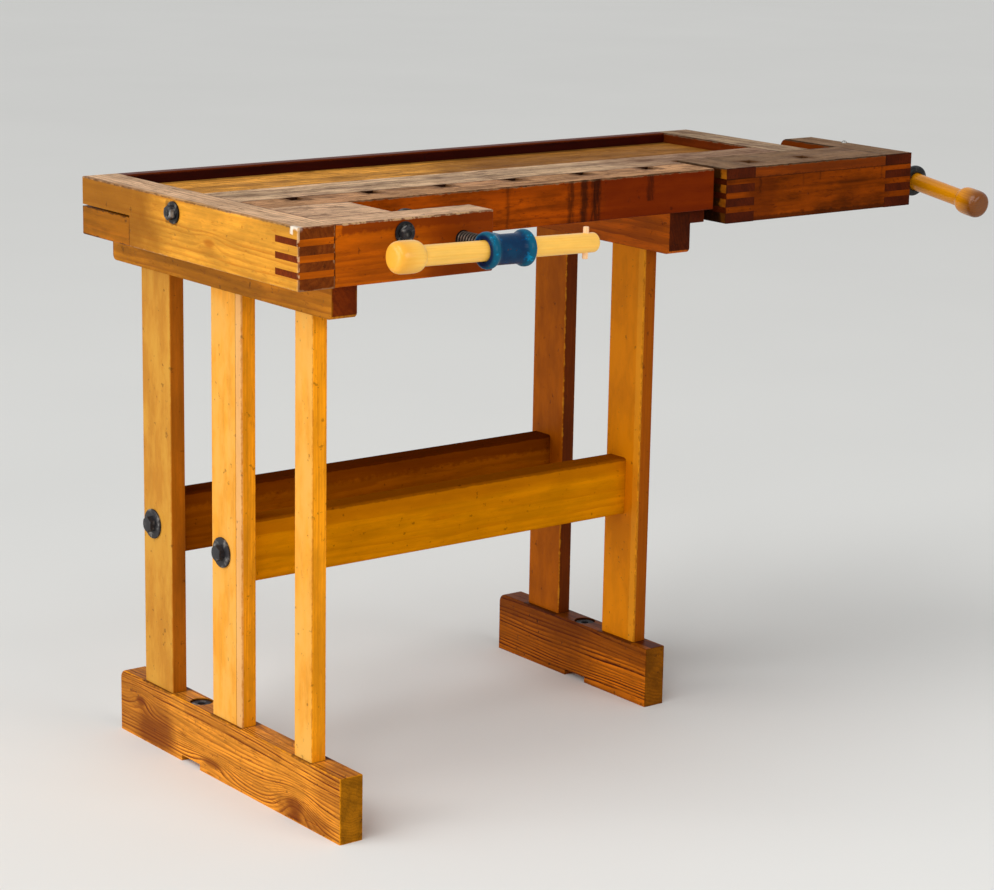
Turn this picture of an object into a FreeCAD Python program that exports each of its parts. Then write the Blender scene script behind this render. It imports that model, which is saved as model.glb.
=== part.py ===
import FreeCAD, Part
import Sketcher
import os
import re

# Continental woodworking bench with a shoulder vise and a tail vise.
#
# Sizes are millimetres. Places are given in the maker's frame: x runs right from the inner face of the left end
# cap, y runs back from the front end of the left foot, z runs up from the floor. Every sub-part is then set back
# by the middle of the whole bench's outline, so that the origin lies on the floor under that middle.

# ---------------------------------------------------------------------------------------------------------
# Sizes: one sheet cell each
# ---------------------------------------------------------------------------------------------------------

SIZES = (
    # the top
    ("bench_height", 850, "floor to working surface"),
    ("top_thickness", 62, "slab, dog-hole strip and back rail"),
    ("jaw_depth", 84, "end caps, vise arm and tail vise, top to bottom"),
    ("slab_length", 1031, "between the end caps"),
    ("slab_width", 95, "main slab, front to back"),
    ("strip_width", 70, "dog-hole strip, front to back"),
    ("recess_length", 229, "tail vise's recess in the front of the top"),
    ("tray_width", 217, "tool tray, front to back"),
    ("tray_depth", 16, "tool tray below the working surface"),
    ("tray_board", 14, "thickness of the tray's bottom"),
    ("tray_groove", 6, "how far the tray's bottom is let in"),
    ("rail_thickness", 20, "back rail"),
    ("edge_ease", 2, "eased edges of the boards"),
    # dog holes
    ("dog_hole", 24, "side of a square dog hole"),
    ("dog_first", 82, "middle of the first dog hole from the left end cap"),
    ("dog_last", 85, "middle of the strip's last dog hole from its right end"),
    # left end and shoulder vise
    ("cap_thickness", 57, "left end cap"),
    ("arm_front", 19, "front face of the vise arm"),
    ("arm_thickness", 54, "vise arm, front to back"),
    ("arm_length", 259, "vise arm beyond the end cap"),
    ("vise_opening", 107, "shoulder vise, arm to dog-hole strip"),
    ("shoulder_length", 130, "shoulder block along the bench"),
    ("outer_finger", 16, "top and bottom fingers of a corner joint"),
    ("inner_finger", 12.5, "the two fingers between them"),
    ("infill_length", 134, "block let into the left end cap"),
    ("infill_height", 41, "height of that block"),
    ("infill_kerf", 3, "open saw kerf above that block"),
    # right end cap
    ("right_cap_thickness", 67, "right end cap"),
    ("tongue_gap", 4, "the cap's tongue to the tail vise's front board"),
    ("tongue_drop", 21, "top of that tongue below the working surface"),
    ("tongue_lift", 2, "bottom of that tongue above the cap's bottom"),
    # tail vise
    ("tail_proud", 12, "tail vise in front of the dog-hole strip"),
    ("tail_width", 114, "jaw of the tail vise, front to back"),
    ("tail_gap", 15, "jaw opening at rest"),
    ("end_gap", 58, "right end cap to end board at rest"),
    ("tail_block", 58, "jaw block and end board, along the bench"),
    ("tail_board", 32, "front board's thickness"),
    ("tail_plate", 17, "top plate's thickness"),
    ("end_board_length", 244, "end board, front to back"),
    ("end_board_round", 15, "rounded rear end of the end board"),
    ("tail_dog_first", 88, "middle of the tail vise's first dog hole from its jaw face"),
    ("tail_dog_pitch", 112, "dog hole to dog hole in the tail vise"),
    ("tail_dog_back", 59, "back of the dog holes from the tail vise's front"),
    ("side_play", 1, "tail vise to slab"),
    ("jaw_block_height", 22, "block under the strip that makes the jaw full depth"),
    ("jaw_block_length", 28, "that block along the bench"),
    ("jaw_block_setback", 20, "that block behind the strip's front"),
    # guide of the tail vise
    ("guide_width", 40, "guide rail, front to back"),
    ("guide_height", 19, "guide rail"),
    ("guide_setback", 13, "guide rail behind the recess's rear face"),
    ("guide_reach", 121, "guide rail beyond its keeper at rest"),
    ("guide_tenon", 20, "guide rail's tenon in the end board"),
    ("keeper_inset", 110, "guide keeper from the right end cap"),
    ("keeper_length", 30, "guide keeper along the bench"),
    ("keeper_wall", 12, "guide keeper's walls"),
    ("slide_play", 0.5, "guide rail to the wood around it"),
    # trestles
    ("foot_width", 38, "feet"),
    ("foot_height", 95, "feet"),
    ("foot_behind", 8, "feet behind the top"),
    ("foot_round", 14, "rounded rear top corner of the feet"),
    ("right_foot_front", 212, "front end of the right foot"),
    ("right_foot_inset", 78, "right foot from the dog-hole strip's right end"),
    ("post_thickness", 24, "posts, along the bench"),
    ("post_width", 79, "back and middle posts"),
    ("front_post_width", 43, "post under the shoulder vise"),
    ("left_post_inset", 4, "left posts behind the foot's outer face"),
    ("right_post_inset", 8, "right posts from the foot's left face"),
    ("back_post_inset", 60, "back posts in front of the top's rear face"),
    ("middle_post_front", 253, "front edge of the middle posts"),
    ("front_post_front", 76, "front edge of the front post"),
    ("bearer_width", 40, "bearers, along the bench"),
    ("bearer_height", 66, "bearers"),
    ("left_bearer_front", 25, "front end of the left bearer"),
    ("right_bearer_front", 197, "front end of the right bearer"),
    ("bearer_behind", 13, "bearers behind the top"),
    ("bearer_round", 8, "rounded lower corners of the bearers' ends"),
    ("foot_tenon", 60, "post tenons in the feet"),
    ("bearer_tenon", 36, "post tenons in the bearers"),
    ("tenon_thickness", 12, "post tenons"),
    ("tenon_shoulder", 9, "shoulder at each edge of a post"),
    ("tenon_play", 0.1, "glue gap round a tenon"),
    ("relief_length", 50, "relief under each foot"),
    ("relief_height", 9, "relief under each foot"),
    ("fixing_bore", 12, "floor-fixing hole through each foot"),
    ("fixing_recess", 34, "counterbore of that hole"),
    ("recess_depth", 6, "depth of that counterbore"),
    ("fixing_washer", 31, "washer in that counterbore"),
    # stretchers and their bolts
    ("stretcher_low", 298, "underside of the stretchers"),
    ("stretcher_height", 90, "stretchers"),
    ("stretcher_thickness", 40, "stretchers"),
    ("stretcher_inset", 31, "stretchers behind their posts' front edges"),
    ("stretcher_bolt", 12, "bolt diameter"),
    ("bolt_grip", 80, "post to the middle of the bolt's barrel nut"),
    ("bolt_point", 12, "bolt past that middle"),
    ("bolt_head", 24, "bolt head across corners"),
    ("head_height", 9, "heads of bolts and coach screws"),
    ("big_washer", 44, "stretcher washers"),
    ("washer_thickness", 3, "all washers"),
    ("bolt_play", 0.5, "bolt in its hole, on the radius"),
    ("barrel_nut", 20, "barrel nut diameter"),
    ("barrel_length", 36, "barrel nut"),
    # tie bolts of the top
    ("tie_bolt", 10, "tie rod diameter"),
    ("tie_nut", 21, "tie nut across corners"),
    ("tie_nut_height", 8, "tie nut"),
    ("tie_washer", 31, "tie rod washers"),
    ("tie_drop", 20, "tie rods below the working surface"),
    ("tie_reach", 70, "end cap tie rods in the slab, to their captured nuts"),
    ("tie_stub", 1, "tie rod standing out of its nut"),
    ("tie_setback", 18, "end cap tie rods in front of the slab's rear face"),
    ("shoulder_tie_inset", 19, "tie rod through the vise arm from the shoulder block's jaw end"),
    ("shoulder_reach", 20, "that tie rod in the slab, to its captured nut"),
    ("pocket_width", 26, "pocket of a captured nut, across its rod"),
    ("pocket_length", 16, "pocket of a captured nut, along its rod"),
    # screws that hold wood and plates
    ("coach_shank", 8, "coach screw diameter"),
    ("coach_head", 15, "coach screw head across corners"),
    ("coach_bite", 34, "coach screw in the top"),
    ("coach_recess", 20, "counterbore under the bearers"),
    ("coach_recess_depth", 26, "depth of that counterbore"),
    ("wood_screw", 4, "wood screw diameter"),
    ("wood_screw_head", 7, "countersunk head diameter"),
    ("wood_screw_length", 26, "wood screw"),
    ("keeper_screw_length", 52, "screws that hold the guide keeper"),
    ("flange_screw_circle", 47, "circle of the wood screws round a vise screw"),
    ("stud_head", 9, "round-headed screw on the end board"),
    ("stud_head_height", 4, "round-headed screw"),
    ("stud_setback", 99, "round-headed screw from the end board's rear end"),
    ("stud_inset", 9, "round-headed screw from the end board's outer face"),
    # vise screws
    ("screw_thread", 24, "vise screw over the thread"),
    ("screw_play", 0.1, "screw in its nut, on the radius"),
    ("screw_room", 1, "screw in wood, on the radius"),
    ("screw_inset", 51, "front vise screw from the arm's end"),
    ("front_screw_drop", 37, "front vise screw below the working surface"),
    ("front_hub_reach", 93, "front hub's middle in front of the arm"),
    ("tail_screw_drop", 50, "tail vise screw below the working surface"),
    ("tail_hub_reach", 54, "tail hub's middle beyond the end board"),
    ("tail_screw_room", 16, "tail screw's free end from the jaw block"),
    ("nut_sleeve", 38, "vise nut's sleeve"),
    ("nut_length", 27, "vise nut's sleeve in the wood"),
    ("nut_flange", 56, "vise nut's flange"),
    ("flange_thickness", 5, "flange of a vise nut, and thrust plate"),
    ("nut_play", 0.2, "nut sleeve in wood, on the radius"),
    ("thrust_plate", 60, "tail vise's thrust plate"),
    ("collar", 38, "collar on the tail screw"),
    ("collar_width", 10, "collar on the tail screw"),
    ("face_play", 0.3, "between faces that move past each other"),
    ("plate_size", 50, "swivel plate"),
    ("plate_thickness", 10, "swivel plate"),
    ("plate_gap", 24, "swivel plate to dog-hole strip at rest"),
    ("plate_boss", 34, "swivel plate's socket"),
    ("plate_boss_length", 14, "swivel plate's socket"),
    ("plate_lip", 4, "lip that keeps the screw's end in the socket"),
    ("spigot_neck", 16, "neck of the front screw's end"),
    ("spigot_head", 22, "head of the front screw's end"),
    ("spigot_head_length", 8, "head of the front screw's end"),
    # hubs and handles
    ("hub_length", 73, "hub along the handle"),
    ("hub_flange", 50, "hub's end flanges"),
    ("hub_flange_width", 14, "each end flange"),
    ("hub_neck", 41, "hub between its flanges"),
    ("hub_boss", 36, "boss on the screw side"),
    ("front_boss_reach", 34, "front hub's boss from its middle"),
    ("hub_floor", 4, "handle's bore to the screw's end"),
    ("hub_pin", 6, "pin through boss and screw"),
    ("pin_play", 0.05, "pins and threads in their holes, on the radius"),
    ("handle_rod", 28, "handle"),
    ("handle_play", 0.1, "handle in its hub, on the radius"),
    ("knob_size", 44, "handle's knob"),
    ("knob_length", 46, "handle's knob"),
    ("rod_length", 290, "handle beyond its knob"),
    ("handle_show", 100, "rod between knob and hub at rest"),
    ("handle_pin", 8, "cross pin near the handle's end"),
    ("handle_pin_length", 44, "cross pin"),
    ("handle_pin_inset", 17, "cross pin from the rod's end"),
    ("front_handle_tilt", 1.2, "degrees that the front handle's free end points down at rest"),
    ("tail_handle_tilt", 8.5, "degrees that the tail handle's knob points down at rest"),
)

# ---------------------------------------------------------------------------------------------------------
# Places and other sizes that follow from the sheet's
# ---------------------------------------------------------------------------------------------------------

PLACES = {
    # up from the floor
    "top": "bench_height",
    "slab_low": "top - top_thickness",
    "jaw_low": "top - jaw_depth",
    "tray_top": "top - tray_depth",
    "tray_low": "tray_top - tray_board",
    "bearer_low": "slab_low - bearer_height",
    "stretcher_middle": "stretcher_low + stretcher_height / 2",
    "tie_z": "top - tie_drop",
    "front_screw_z": "top - front_screw_drop",
    "tail_screw_z": "top - tail_screw_drop",
    "guide_high": "slab_low - slide_play",
    "guide_low": "guide_high - guide_height",
    # back from the left foot's front end
    "arm_back": "arm_front + arm_thickness",
    "strip_front": "arm_back + vise_opening",
    "strip_back": "strip_front + strip_width",
    "slab_back": "strip_back + slab_width",
    "rail_front": "slab_back + tray_width",
    "top_back": "rail_front + rail_thickness",
    "foot_back": "top_back + foot_behind",
    "bearer_back": "top_back + bearer_behind",
    "middle_post_back": "middle_post_front + post_width",
    "back_post_front": "top_back - back_post_inset - post_width",
    "relief_middle": "(middle_post_back + back_post_front) / 2",
    "cap_tie_y": "slab_back - tie_setback",
    "coach_front": "strip_front + strip_width / 2",
    "coach_back": "top_back - (rail_thickness - tray_groove) / 2",
    "tail_front": "strip_front - tail_proud",
    "tail_board_back": "tail_front + tail_board",
    "tail_back": "tail_front + tail_width",
    "recess_front": "tail_back + side_play",
    "end_board_back": "tail_front + end_board_length",
    "tongue_front": "tail_board_back + tongue_gap",
    "tail_screw_y": "(tongue_front + recess_front) / 2",
    "guide_front": "recess_front + guide_setback",
    "guide_back": "guide_front + guide_width",
    "plate_back": "strip_front - plate_gap",
    "plate_front": "plate_back - plate_thickness - plate_boss_length",
    "front_hub_y": "arm_front - front_hub_reach",
    "stud_y": "end_board_back - stud_setback",
    # right from the left end cap's inner face
    "cap_left": "0 - cap_thickness",
    "strip_right": "slab_length - recess_length",
    "dog_pitch": "(strip_right - dog_first - dog_last) / 5",
    "cap_right": "slab_length + right_cap_thickness",
    "shoulder_tie_x": "shoulder_length - shoulder_tie_inset",
    "front_screw_x": "arm_length - screw_inset",
    "tail_left": "strip_right + tail_gap",
    "tail_inner_left": "tail_left + tail_block",
    "tail_inner_right": "cap_right + end_gap",
    "tail_right": "tail_inner_right + tail_block",
    "tail_hub_x": "tail_right + tail_hub_reach",
    "tail_screw_left": "tail_inner_left + tail_screw_room",
    "keeper_left": "slab_length - keeper_inset",
    "guide_left": "keeper_left - guide_reach",
    "guide_right": "tail_inner_right + guide_tenon",
    "left_foot_left": "0",
    "left_foot_right": "foot_width",
    "left_post_left": "left_post_inset",
    "left_post_right": "left_post_left + post_thickness",
    "left_bearer_left": "0",
    "left_bearer_right": "bearer_width",
    "right_foot_left": "strip_right - right_foot_inset",
    "right_foot_right": "right_foot_left + foot_width",
    "right_post_left": "right_foot_left + right_post_inset",
    "right_post_right": "right_post_left + post_thickness",
    "right_bearer_left": "right_post_left",
    "right_bearer_right": "right_bearer_left + bearer_width",
    # corner joints: three slots between four fingers
    "slot_height": "(jaw_depth - 2 * outer_finger - 2 * inner_finger) / 3",
    "slot_step": "slot_height + inner_finger",
    # holes
    "tie_bore": "tie_bolt + 2 * bolt_play",
    "bolt_bore": "stretcher_bolt + 2 * bolt_play",
    "wood_bore": "screw_thread + 2 * screw_room",
    "nut_bore": "screw_thread + 2 * screw_play",
    "sleeve_bore": "nut_sleeve + 2 * nut_play",
    # hubs, counted from the middle of the handle's bore
    "screw_start": "handle_rod / 2 + hub_floor",
    "hub_pin_place": "(screw_start + front_boss_reach) / 2",
    "tail_boss_reach": "tail_hub_reach - flange_thickness - face_play",
    # handles, counted along the rod from the hub's middle at rest
    "rod_start": "0 - hub_length / 2 - handle_show",
    "rod_end": "rod_start + rod_length",
    "cross_pin_place": "rod_end - handle_pin_inset",
    # the whole outline
    "leftmost": "cap_left - washer_thickness - tie_nut_height - tie_stub",
    "rightmost": "tail_hub_x + hub_flange / 2",
    "frontmost": "front_hub_y - hub_flange / 2",
    "origin_x": "(leftmost + rightmost) / 2",
    "origin_y": "(frontmost + bearer_back) / 2",
}

TRESTLES = {"left": ("front", "middle", "back"), "right": ("middle", "back")}

POSTS = {
    "front": ("front_post_front", "front_post_front + front_post_width"),
    "middle": ("middle_post_front", "middle_post_back"),
    "back": ("back_post_front", "back_post_front + post_width"),
}

STRETCHER_FRONTS = {
    "middle": "middle_post_front + stretcher_inset",
    "back": "back_post_front + stretcher_inset",
}

TILTS = {alias[:-12]: size for alias, size, _ in SIZES if alias.endswith("_handle_tilt")}

DOC = FreeCAD.newDocument("Workbench")
SHEET = DOC.addObject("Spreadsheet::Sheet", "Sizes")
CELLS = {alias for alias, _, _ in SIZES}
WORD = re.compile(r"[a-z_]+")
NODES = {}


def turn(x, y, z, degrees):
    return FreeCAD.Rotation(FreeCAD.Vector(x, y, z), degrees)


# Rotations that bring a sub-part's own z along a direction of the bench.
TURNS = {
    "x": turn(0, 1, 0, 90),
    "-x": turn(0, 1, 0, -90),
    "y": turn(1, 0, 0, -90),
    "-y": turn(1, 0, 0, 90),
    "z": turn(0, 0, 1, 0),
    "-z": turn(1, 0, 0, 180),
}
# A hub's own x follows its tilted handle and its own z runs into the bench.
TURNS["front hub"] = turn(0, 1, 0, TILTS["front"]) * TURNS["y"]
TURNS["tail hub"] = turn(1, 0, 0, TILTS["tail"]) * TURNS["y"] * TURNS["-x"]
# A handle's own z runs from its knob to its free end, and its own y is upright.
TURNS["front handle"] = turn(0, 1, 0, TILTS["front"]) * TURNS["x"] * turn(0, 0, 1, 90)
TURNS["tail handle"] = turn(1, 0, 0, TILTS["tail"]) * TURNS["y"]

SIDES = {
    "left": ("x", "XMin"),
    "right": ("x", "XMax"),
    "front": ("y", "YMin"),
    "back": ("y", "YMax"),
    "low": ("z", "ZMin"),
    "high": ("z", "ZMax"),
}


# ---------------------------------------------------------------------------------------------------------
# Helpers
# ---------------------------------------------------------------------------------------------------------

def fill_sheet():
    for row, (alias, size, meaning) in enumerate(SIZES, 1):
        SHEET.set(f"A{row}", meaning)
        SHEET.set(f"B{row}", str(size))
        SHEET.setAlias(f"B{row}", alias)
    DOC.recompute()


def formula(text):
    """The expression in text with its sizes as sheet cells and its places worked out from them."""

    def cell(match):
        word = match.group(0)
        if word in PLACES:
            return f"({formula(PLACES[word])})"
        return f"Sizes.{word}" if word in CELLS else word

    return WORD.sub(cell, str(text))


def bind(item, **sizes):
    """Binds properties to expressions; a double underscore in a name stands for a dot."""
    for name, text in sizes.items():
        item.setExpression(name.replace("__", "."), formula(text))


def locate(item, x, y, z):
    bind(item, Placement__Base__x=x, Placement__Base__y=y, Placement__Base__z=z)


def body_at(name, place=("0", "0", "0"), direction="z"):
    """A body whose own origin is a place in the maker's frame, turned to a direction."""
    body = DOC.addObject("PartDesign::Body", name)
    body.Placement = FreeCAD.Placement(FreeCAD.Vector(), TURNS[direction])
    x, y, z = place
    locate(body, f"({x}) - origin_x", f"({y}) - origin_y", z)
    return body


def keep(body, name=None):
    """Makes a body, or a group of bodies, a node of the bench."""
    NODES[name or body.Name] = body
    return body


def block(body, x, y, z, kind="Additive"):
    """A box between two places along each axis."""
    item = body.newObject(f"PartDesign::{kind}Box", f"{body.Name}_box")
    (left, right), (front, back), (low, high) = x, y, z
    bind(item, Length=f"({right}) - ({left})", Width=f"({back}) - ({front})", Height=f"({high}) - ({low})")
    locate(item, left, front, low)
    return item


def notch(body, x, y, z):
    """Takes away the box between two places along each axis."""
    block(body, x, y, z, "Subtractive")


def rod(body, place, direction, diameter, length, kind="Additive"):
    """A cylinder that starts at a place and runs in a direction."""
    item = body.newObject(f"PartDesign::{kind}Cylinder", f"{body.Name}_rod")
    item.Placement = FreeCAD.Placement(FreeCAD.Vector(), TURNS[direction])
    bind(item, Radius=f"({diameter}) / 2", Height=length)
    locate(item, *place)
    return item


def bore(body, place, direction, diameter, length):
    """Takes away the cylinder that starts at a place and runs in a direction."""
    rod(body, place, direction, diameter, length, "Subtractive")


def hexagon(body, low, across_corners, height):
    """A hexagonal prism about the body's own z, upwards from a height."""
    item = body.newObject("PartDesign::AdditivePrism", f"{body.Name}_hexagon")
    bind(item, Circumradius=f"({across_corners}) / 2", Height=height)
    locate(item, "0", "0", low)


def edges_between(shape, pairs):
    """Names of a box's edges, each given as the two sides that it lies between, such as "front high"."""
    names = []
    for pair in pairs.split(", "):
        limits = [(SIDES[side][0], getattr(shape.BoundBox, SIDES[side][1])) for side in pair.split()]
        for number, edge in enumerate(shape.Edges, 1):
            ends = [vertex.Point for vertex in edge.Vertexes]
            if all(abs(getattr(end, axis) - limit) < 1e-6 for end in ends for axis, limit in limits):
                names.append(f"Edge{number}")
    return names


def rounded(body, base, radius, names):
    """Rounds the named edges of a feature."""
    item = body.newObject("PartDesign::Fillet", f"{body.Name}_round")
    item.Base = (base, names)
    bind(item, Radius=radius)
    DOC.recompute()
    return item


def board(name, x, y, z, eased=""):
    """A board between two places along each axis, with the listed edges eased."""
    body = keep(body_at(name))
    stock = block(body, x, y, z)
    if eased:
        DOC.recompute()
        rounded(body, stock, "edge_ease", edges_between(stock.Shape, eased))
    return body


def turned(body, corners):
    """Turns an outline of (radius, height) corners about the body's own z."""
    sketch = body.newObject("Sketcher::SketchObject", f"{body.Name}_outline")
    plane = next(item for item in body.Origin.OriginFeatures if item.Role == "XZ_Plane")
    sketch.AttachmentSupport = [(plane, "")]
    sketch.MapMode = "FlatFace"
    count = len(corners)
    spots = [FreeCAD.Vector(10 + index, 10 + index * index, 0) for index in range(count)]
    for index in range(count):
        sketch.addGeometry(Part.LineSegment(spots[index], spots[(index + 1) % count]))
    for index in range(count):
        sketch.addConstraint(Sketcher.Constraint("Coincident", index, 2, (index + 1) % count, 1))
    for index, corner in enumerate(corners):
        for kind, text, axis_line in zip(("DistanceX", "DistanceY"), corner, (-2, -1)):
            if text == "0":
                sketch.addConstraint(Sketcher.Constraint("PointOnObject", index, 1, axis_line))
                continue
            number = sketch.addConstraint(Sketcher.Constraint(kind, -1, 1, index, 1, 10.0))
            sketch.setExpression(f"Constraints[{number}]", formula(text))
    item = body.newObject("PartDesign::Revolution", f"{body.Name}_turning")
    item.Profile = sketch
    item.ReferenceAxis = (sketch, ["V_Axis"])
    item.Angle = 360


def group(name, bodies):
    """Like pieces that share one node, each a solid of its own."""
    item = DOC.addObject("Part::Compound", name)
    item.Links = bodies
    keep(item)


def moved(place, direction, distance):
    """A place moved along an axis of the bench."""
    axis = "xyz".index(direction[-1])
    sign = "-" if direction.startswith("-") else "+"
    return tuple(f"({p}) {sign} ({distance})" if axis == i else p for i, p in enumerate(place))


def opposite(direction):
    return direction[1:] if direction.startswith("-") else f"-{direction}"


def washer(name, place, direction, diameter, hole):
    """A washer that lies on the face at a place, which a direction points into."""
    body = body_at(name, moved(place, opposite(direction), "washer_thickness"), direction)
    rod(body, ("0", "0", "0"), "z", diameter, "washer_thickness")
    bore(body, ("0", "0", "-1"), "z", hole, "washer_thickness + 2")
    return body


def tie_nut(name, place, direction):
    """A nut that starts at a place and runs in a direction."""
    body = body_at(name, place, direction)
    hexagon(body, "0", "tie_nut", "tie_nut_height")
    bore(body, ("0", "0", "-1"), "z", "tie_bolt + 2 * pin_play", "tie_nut_height + 2")
    return body


def wood_screws(name, places, direction, length="wood_screw_length"):
    """Countersunk screws whose heads lie flush at the places, driven in a direction."""
    screws = []
    for number, place in enumerate(places, 1):
        body = body_at(f"{name}_{number}", place, direction)
        head = "(wood_screw_head - wood_screw) / 2"
        turned(
            body,
            (
                ("0", "0"),
                ("wood_screw_head / 2", "0"),
                ("wood_screw / 2", head),
                ("wood_screw / 2", f"{length} - wood_screw"),
                ("0", length),
            ),
        )
        screws.append(body)
    group(name, screws)


def screw_holes(body, places, direction, length="wood_screw_length", countersunk=False):
    """Holes for wood screws whose heads lie at the places, which are in the body's own frame."""
    for place in places:
        start = moved(place, opposite(direction), "1")
        bore(body, start, direction, "wood_screw + 2 * pin_play", f"{length} + 1.5")
        if not countersunk:
            continue
        cone = body.newObject("PartDesign::SubtractiveCone", f"{body.Name}_countersink")
        cone.Placement = FreeCAD.Placement(FreeCAD.Vector(), TURNS[direction])
        bind(
            cone,
            Radius1="wood_screw_head / 2 + pin_play",
            Radius2="wood_screw / 2 + pin_play",
            Height="(wood_screw_head - wood_screw) / 2",
        )
        locate(cone, *place)


# ---------------------------------------------------------------------------------------------------------
# The top
# ---------------------------------------------------------------------------------------------------------

LEFT_TIE = ("cap_left", "cap_tie_y", "tie_z")
RIGHT_TIE = ("cap_right", "cap_tie_y", "tie_z")
SHOULDER_TIE = ("shoulder_tie_x", "arm_front", "tie_z")
# Where the vise nuts' flanges are screwed on; their screws start above the flange.
FRONT_NUT = ("front_screw_x", "arm_back", "front_screw_z")
TAIL_NUT = ("cap_right", "tail_screw_y", "tail_screw_z")
THRUST_PLATE = ("tail_right", "tail_screw_y", "tail_screw_z")
FRONT_FLANGE = ("front_screw_x", "arm_back + flange_thickness", "front_screw_z")
TAIL_FLANGE = ("cap_right + flange_thickness", "tail_screw_y", "tail_screw_z")
THRUST_FACE = ("tail_right + flange_thickness", "tail_screw_y", "tail_screw_z")
KEEPER_SCREWS = tuple(
    ("keeper_left + keeper_length / 2", y, "guide_low - slide_play - keeper_wall")
    for y in (
        "guide_front - slide_play - keeper_wall / 2",
        "guide_back + slide_play + keeper_wall / 2",
    )
)


def nut_pocket(body, x, y, half_x, half_y):
    """A slot from below for a captured nut."""
    notch(
        body,
        (f"{x} - {half_x} / 2", f"{x} + {half_x} / 2"),
        (f"{y} - {half_y} / 2", f"{y} + {half_y} / 2"),
        ("slab_low - 1", "tie_z + tie_nut / 2 + 1"),
    )


def main_slab():
    body = board(
        "main_slab", ("0", "slab_length"), ("strip_back", "slab_back"), ("slab_low", "top"), "back high"
    )
    notch(
        body,
        ("strip_right", "slab_length + 1"),
        ("strip_back - 1", "recess_front"),
        ("slab_low - 1", "top + 1"),
    )
    notch(
        body,
        ("-1", "slab_length + 1"),
        ("slab_back - tray_groove", "slab_back + 1"),
        ("tray_low", "tray_top"),
    )
    length = "tie_reach + pocket_length / 2 + 3"
    bore(body, ("-1", "cap_tie_y", "tie_z"), "x", "tie_bore", length)
    nut_pocket(body, "tie_reach", "cap_tie_y", "pocket_length", "pocket_width")
    bore(body, ("slab_length + 1", "cap_tie_y", "tie_z"), "-x", "tie_bore", length)
    nut_pocket(body, "slab_length - tie_reach", "cap_tie_y", "pocket_length", "pocket_width")
    start = ("shoulder_tie_x", "strip_back - 1", "tie_z")
    bore(body, start, "y", "tie_bore", "shoulder_reach + pocket_length / 2 + 3")
    nut_pocket(body, "shoulder_tie_x", "strip_back + shoulder_reach", "pocket_width", "pocket_length")
    screw_holes(body, KEEPER_SCREWS, "z", "keeper_screw_length")


def front_strip():
    """The dog holes are open to the back, where the main slab closes them."""
    body = board(
        "front_strip",
        ("0", "strip_right"),
        ("strip_front", "strip_back"),
        ("slab_low", "top"),
        "front high, front low",
    )
    for index in range(6):
        middle = f"dog_first + {index} * dog_pitch"
        notch(
            body,
            (f"{middle} - dog_hole / 2", f"{middle} + dog_hole / 2"),
            ("strip_back - dog_hole", "strip_back + 1"),
            ("slab_low - 1", "top + 1"),
        )
    bore(body, ("shoulder_tie_x", "strip_front - 1", "tie_z"), "y", "tie_bore", "strip_width + 2")
    coach_holes(body, "coach_front")


def coach_holes(body, y):
    for side in TRESTLES:
        start = (bearer_middle(side), y, "slab_low - 1")
        bore(body, start, "z", "coach_shank + 2 * pin_play", "coach_bite + 2")


def tray_bottom():
    board(
        "tray_bottom",
        ("0", "slab_length"),
        ("slab_back - tray_groove", "rail_front + tray_groove"),
        ("tray_low", "tray_top"),
    )


def back_rail():
    body = board(
        "back_rail",
        ("0", "slab_length"),
        ("rail_front", "top_back"),
        ("slab_low", "top"),
        "front high, back high, back low",
    )
    notch(
        body,
        ("-1", "slab_length + 1"),
        ("rail_front - 1", "rail_front + tray_groove"),
        ("tray_low", "tray_top"),
    )
    coach_holes(body, "coach_back")


def finger_layers(kind):
    """Low and high side of the layers of a corner joint: its three slots, or its four fingers."""
    layers = []
    for index in range(3 if kind == "slots" else 4):
        slot_top = f"(top - outer_finger - {index} * slot_step)"
        if kind == "slots":
            layers.append((f"{slot_top} - slot_height", slot_top))
        elif index == 0:
            layers.append((slot_top, "top + 1"))
        elif index == 3:
            layers.append(("jaw_low - 1", f"{slot_top} + inner_finger"))
        else:
            layers.append((slot_top, f"{slot_top} + inner_finger"))
    return layers


def cut_joint(body, kind, x, y):
    """Cuts the slots, or what lies between them, of a corner joint."""
    for layer in finger_layers(kind):
        notch(body, x, y, layer)


def left_end_cap():
    """Its slots take the vise arm's fingers; its lower rear corner is cut out for a let-in block."""
    body = board(
        "left_end_cap",
        ("cap_left", "0"),
        ("arm_front", "top_back"),
        ("jaw_low", "top"),
        "left high, left low, left front, left back, back high",
    )
    cut_joint(body, "slots", ("cap_left - 1", "1"), ("arm_front - 1", "arm_back"))
    notch(
        body,
        ("cap_left - 1", "1"),
        ("top_back - infill_length", "top_back + 1"),
        ("jaw_low - 1", "jaw_low + infill_height + infill_kerf"),
    )
    bore(body, moved(LEFT_TIE, "-x", "1"), "x", "tie_bore", "cap_thickness + 2")


def end_cap_block():
    board(
        "end_cap_block",
        ("cap_left", "0"),
        ("top_back - infill_length", "top_back"),
        ("jaw_low", "jaw_low + infill_height"),
        "left low, left back, back low",
    )


def vise_arm():
    """Front board of the shoulder vise, with fingers into the end cap and a bore for the screw's nut."""
    body = board(
        "vise_arm",
        ("cap_left", "arm_length"),
        ("arm_front", "arm_back"),
        ("jaw_low", "top"),
        "front high, front low, left front, right front, right high, right low, right back",
    )
    cut_joint(body, "fingers", ("cap_left - 1", "0"), ("arm_front - 1", "arm_back + 1"))
    bore(body, moved(SHOULDER_TIE, "-y", "1"), "y", "tie_bore", "arm_thickness + 2")
    bore(
        body, ("front_screw_x", "arm_front - 1", "front_screw_z"), "y", "wood_bore", "arm_thickness + 2"
    )
    bore(body, moved(FRONT_NUT, "y", "1"), "-y", "sleeve_bore", "nut_length + 2")
    screw_holes(body, around(FRONT_NUT, "-y"), "-y")


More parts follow.
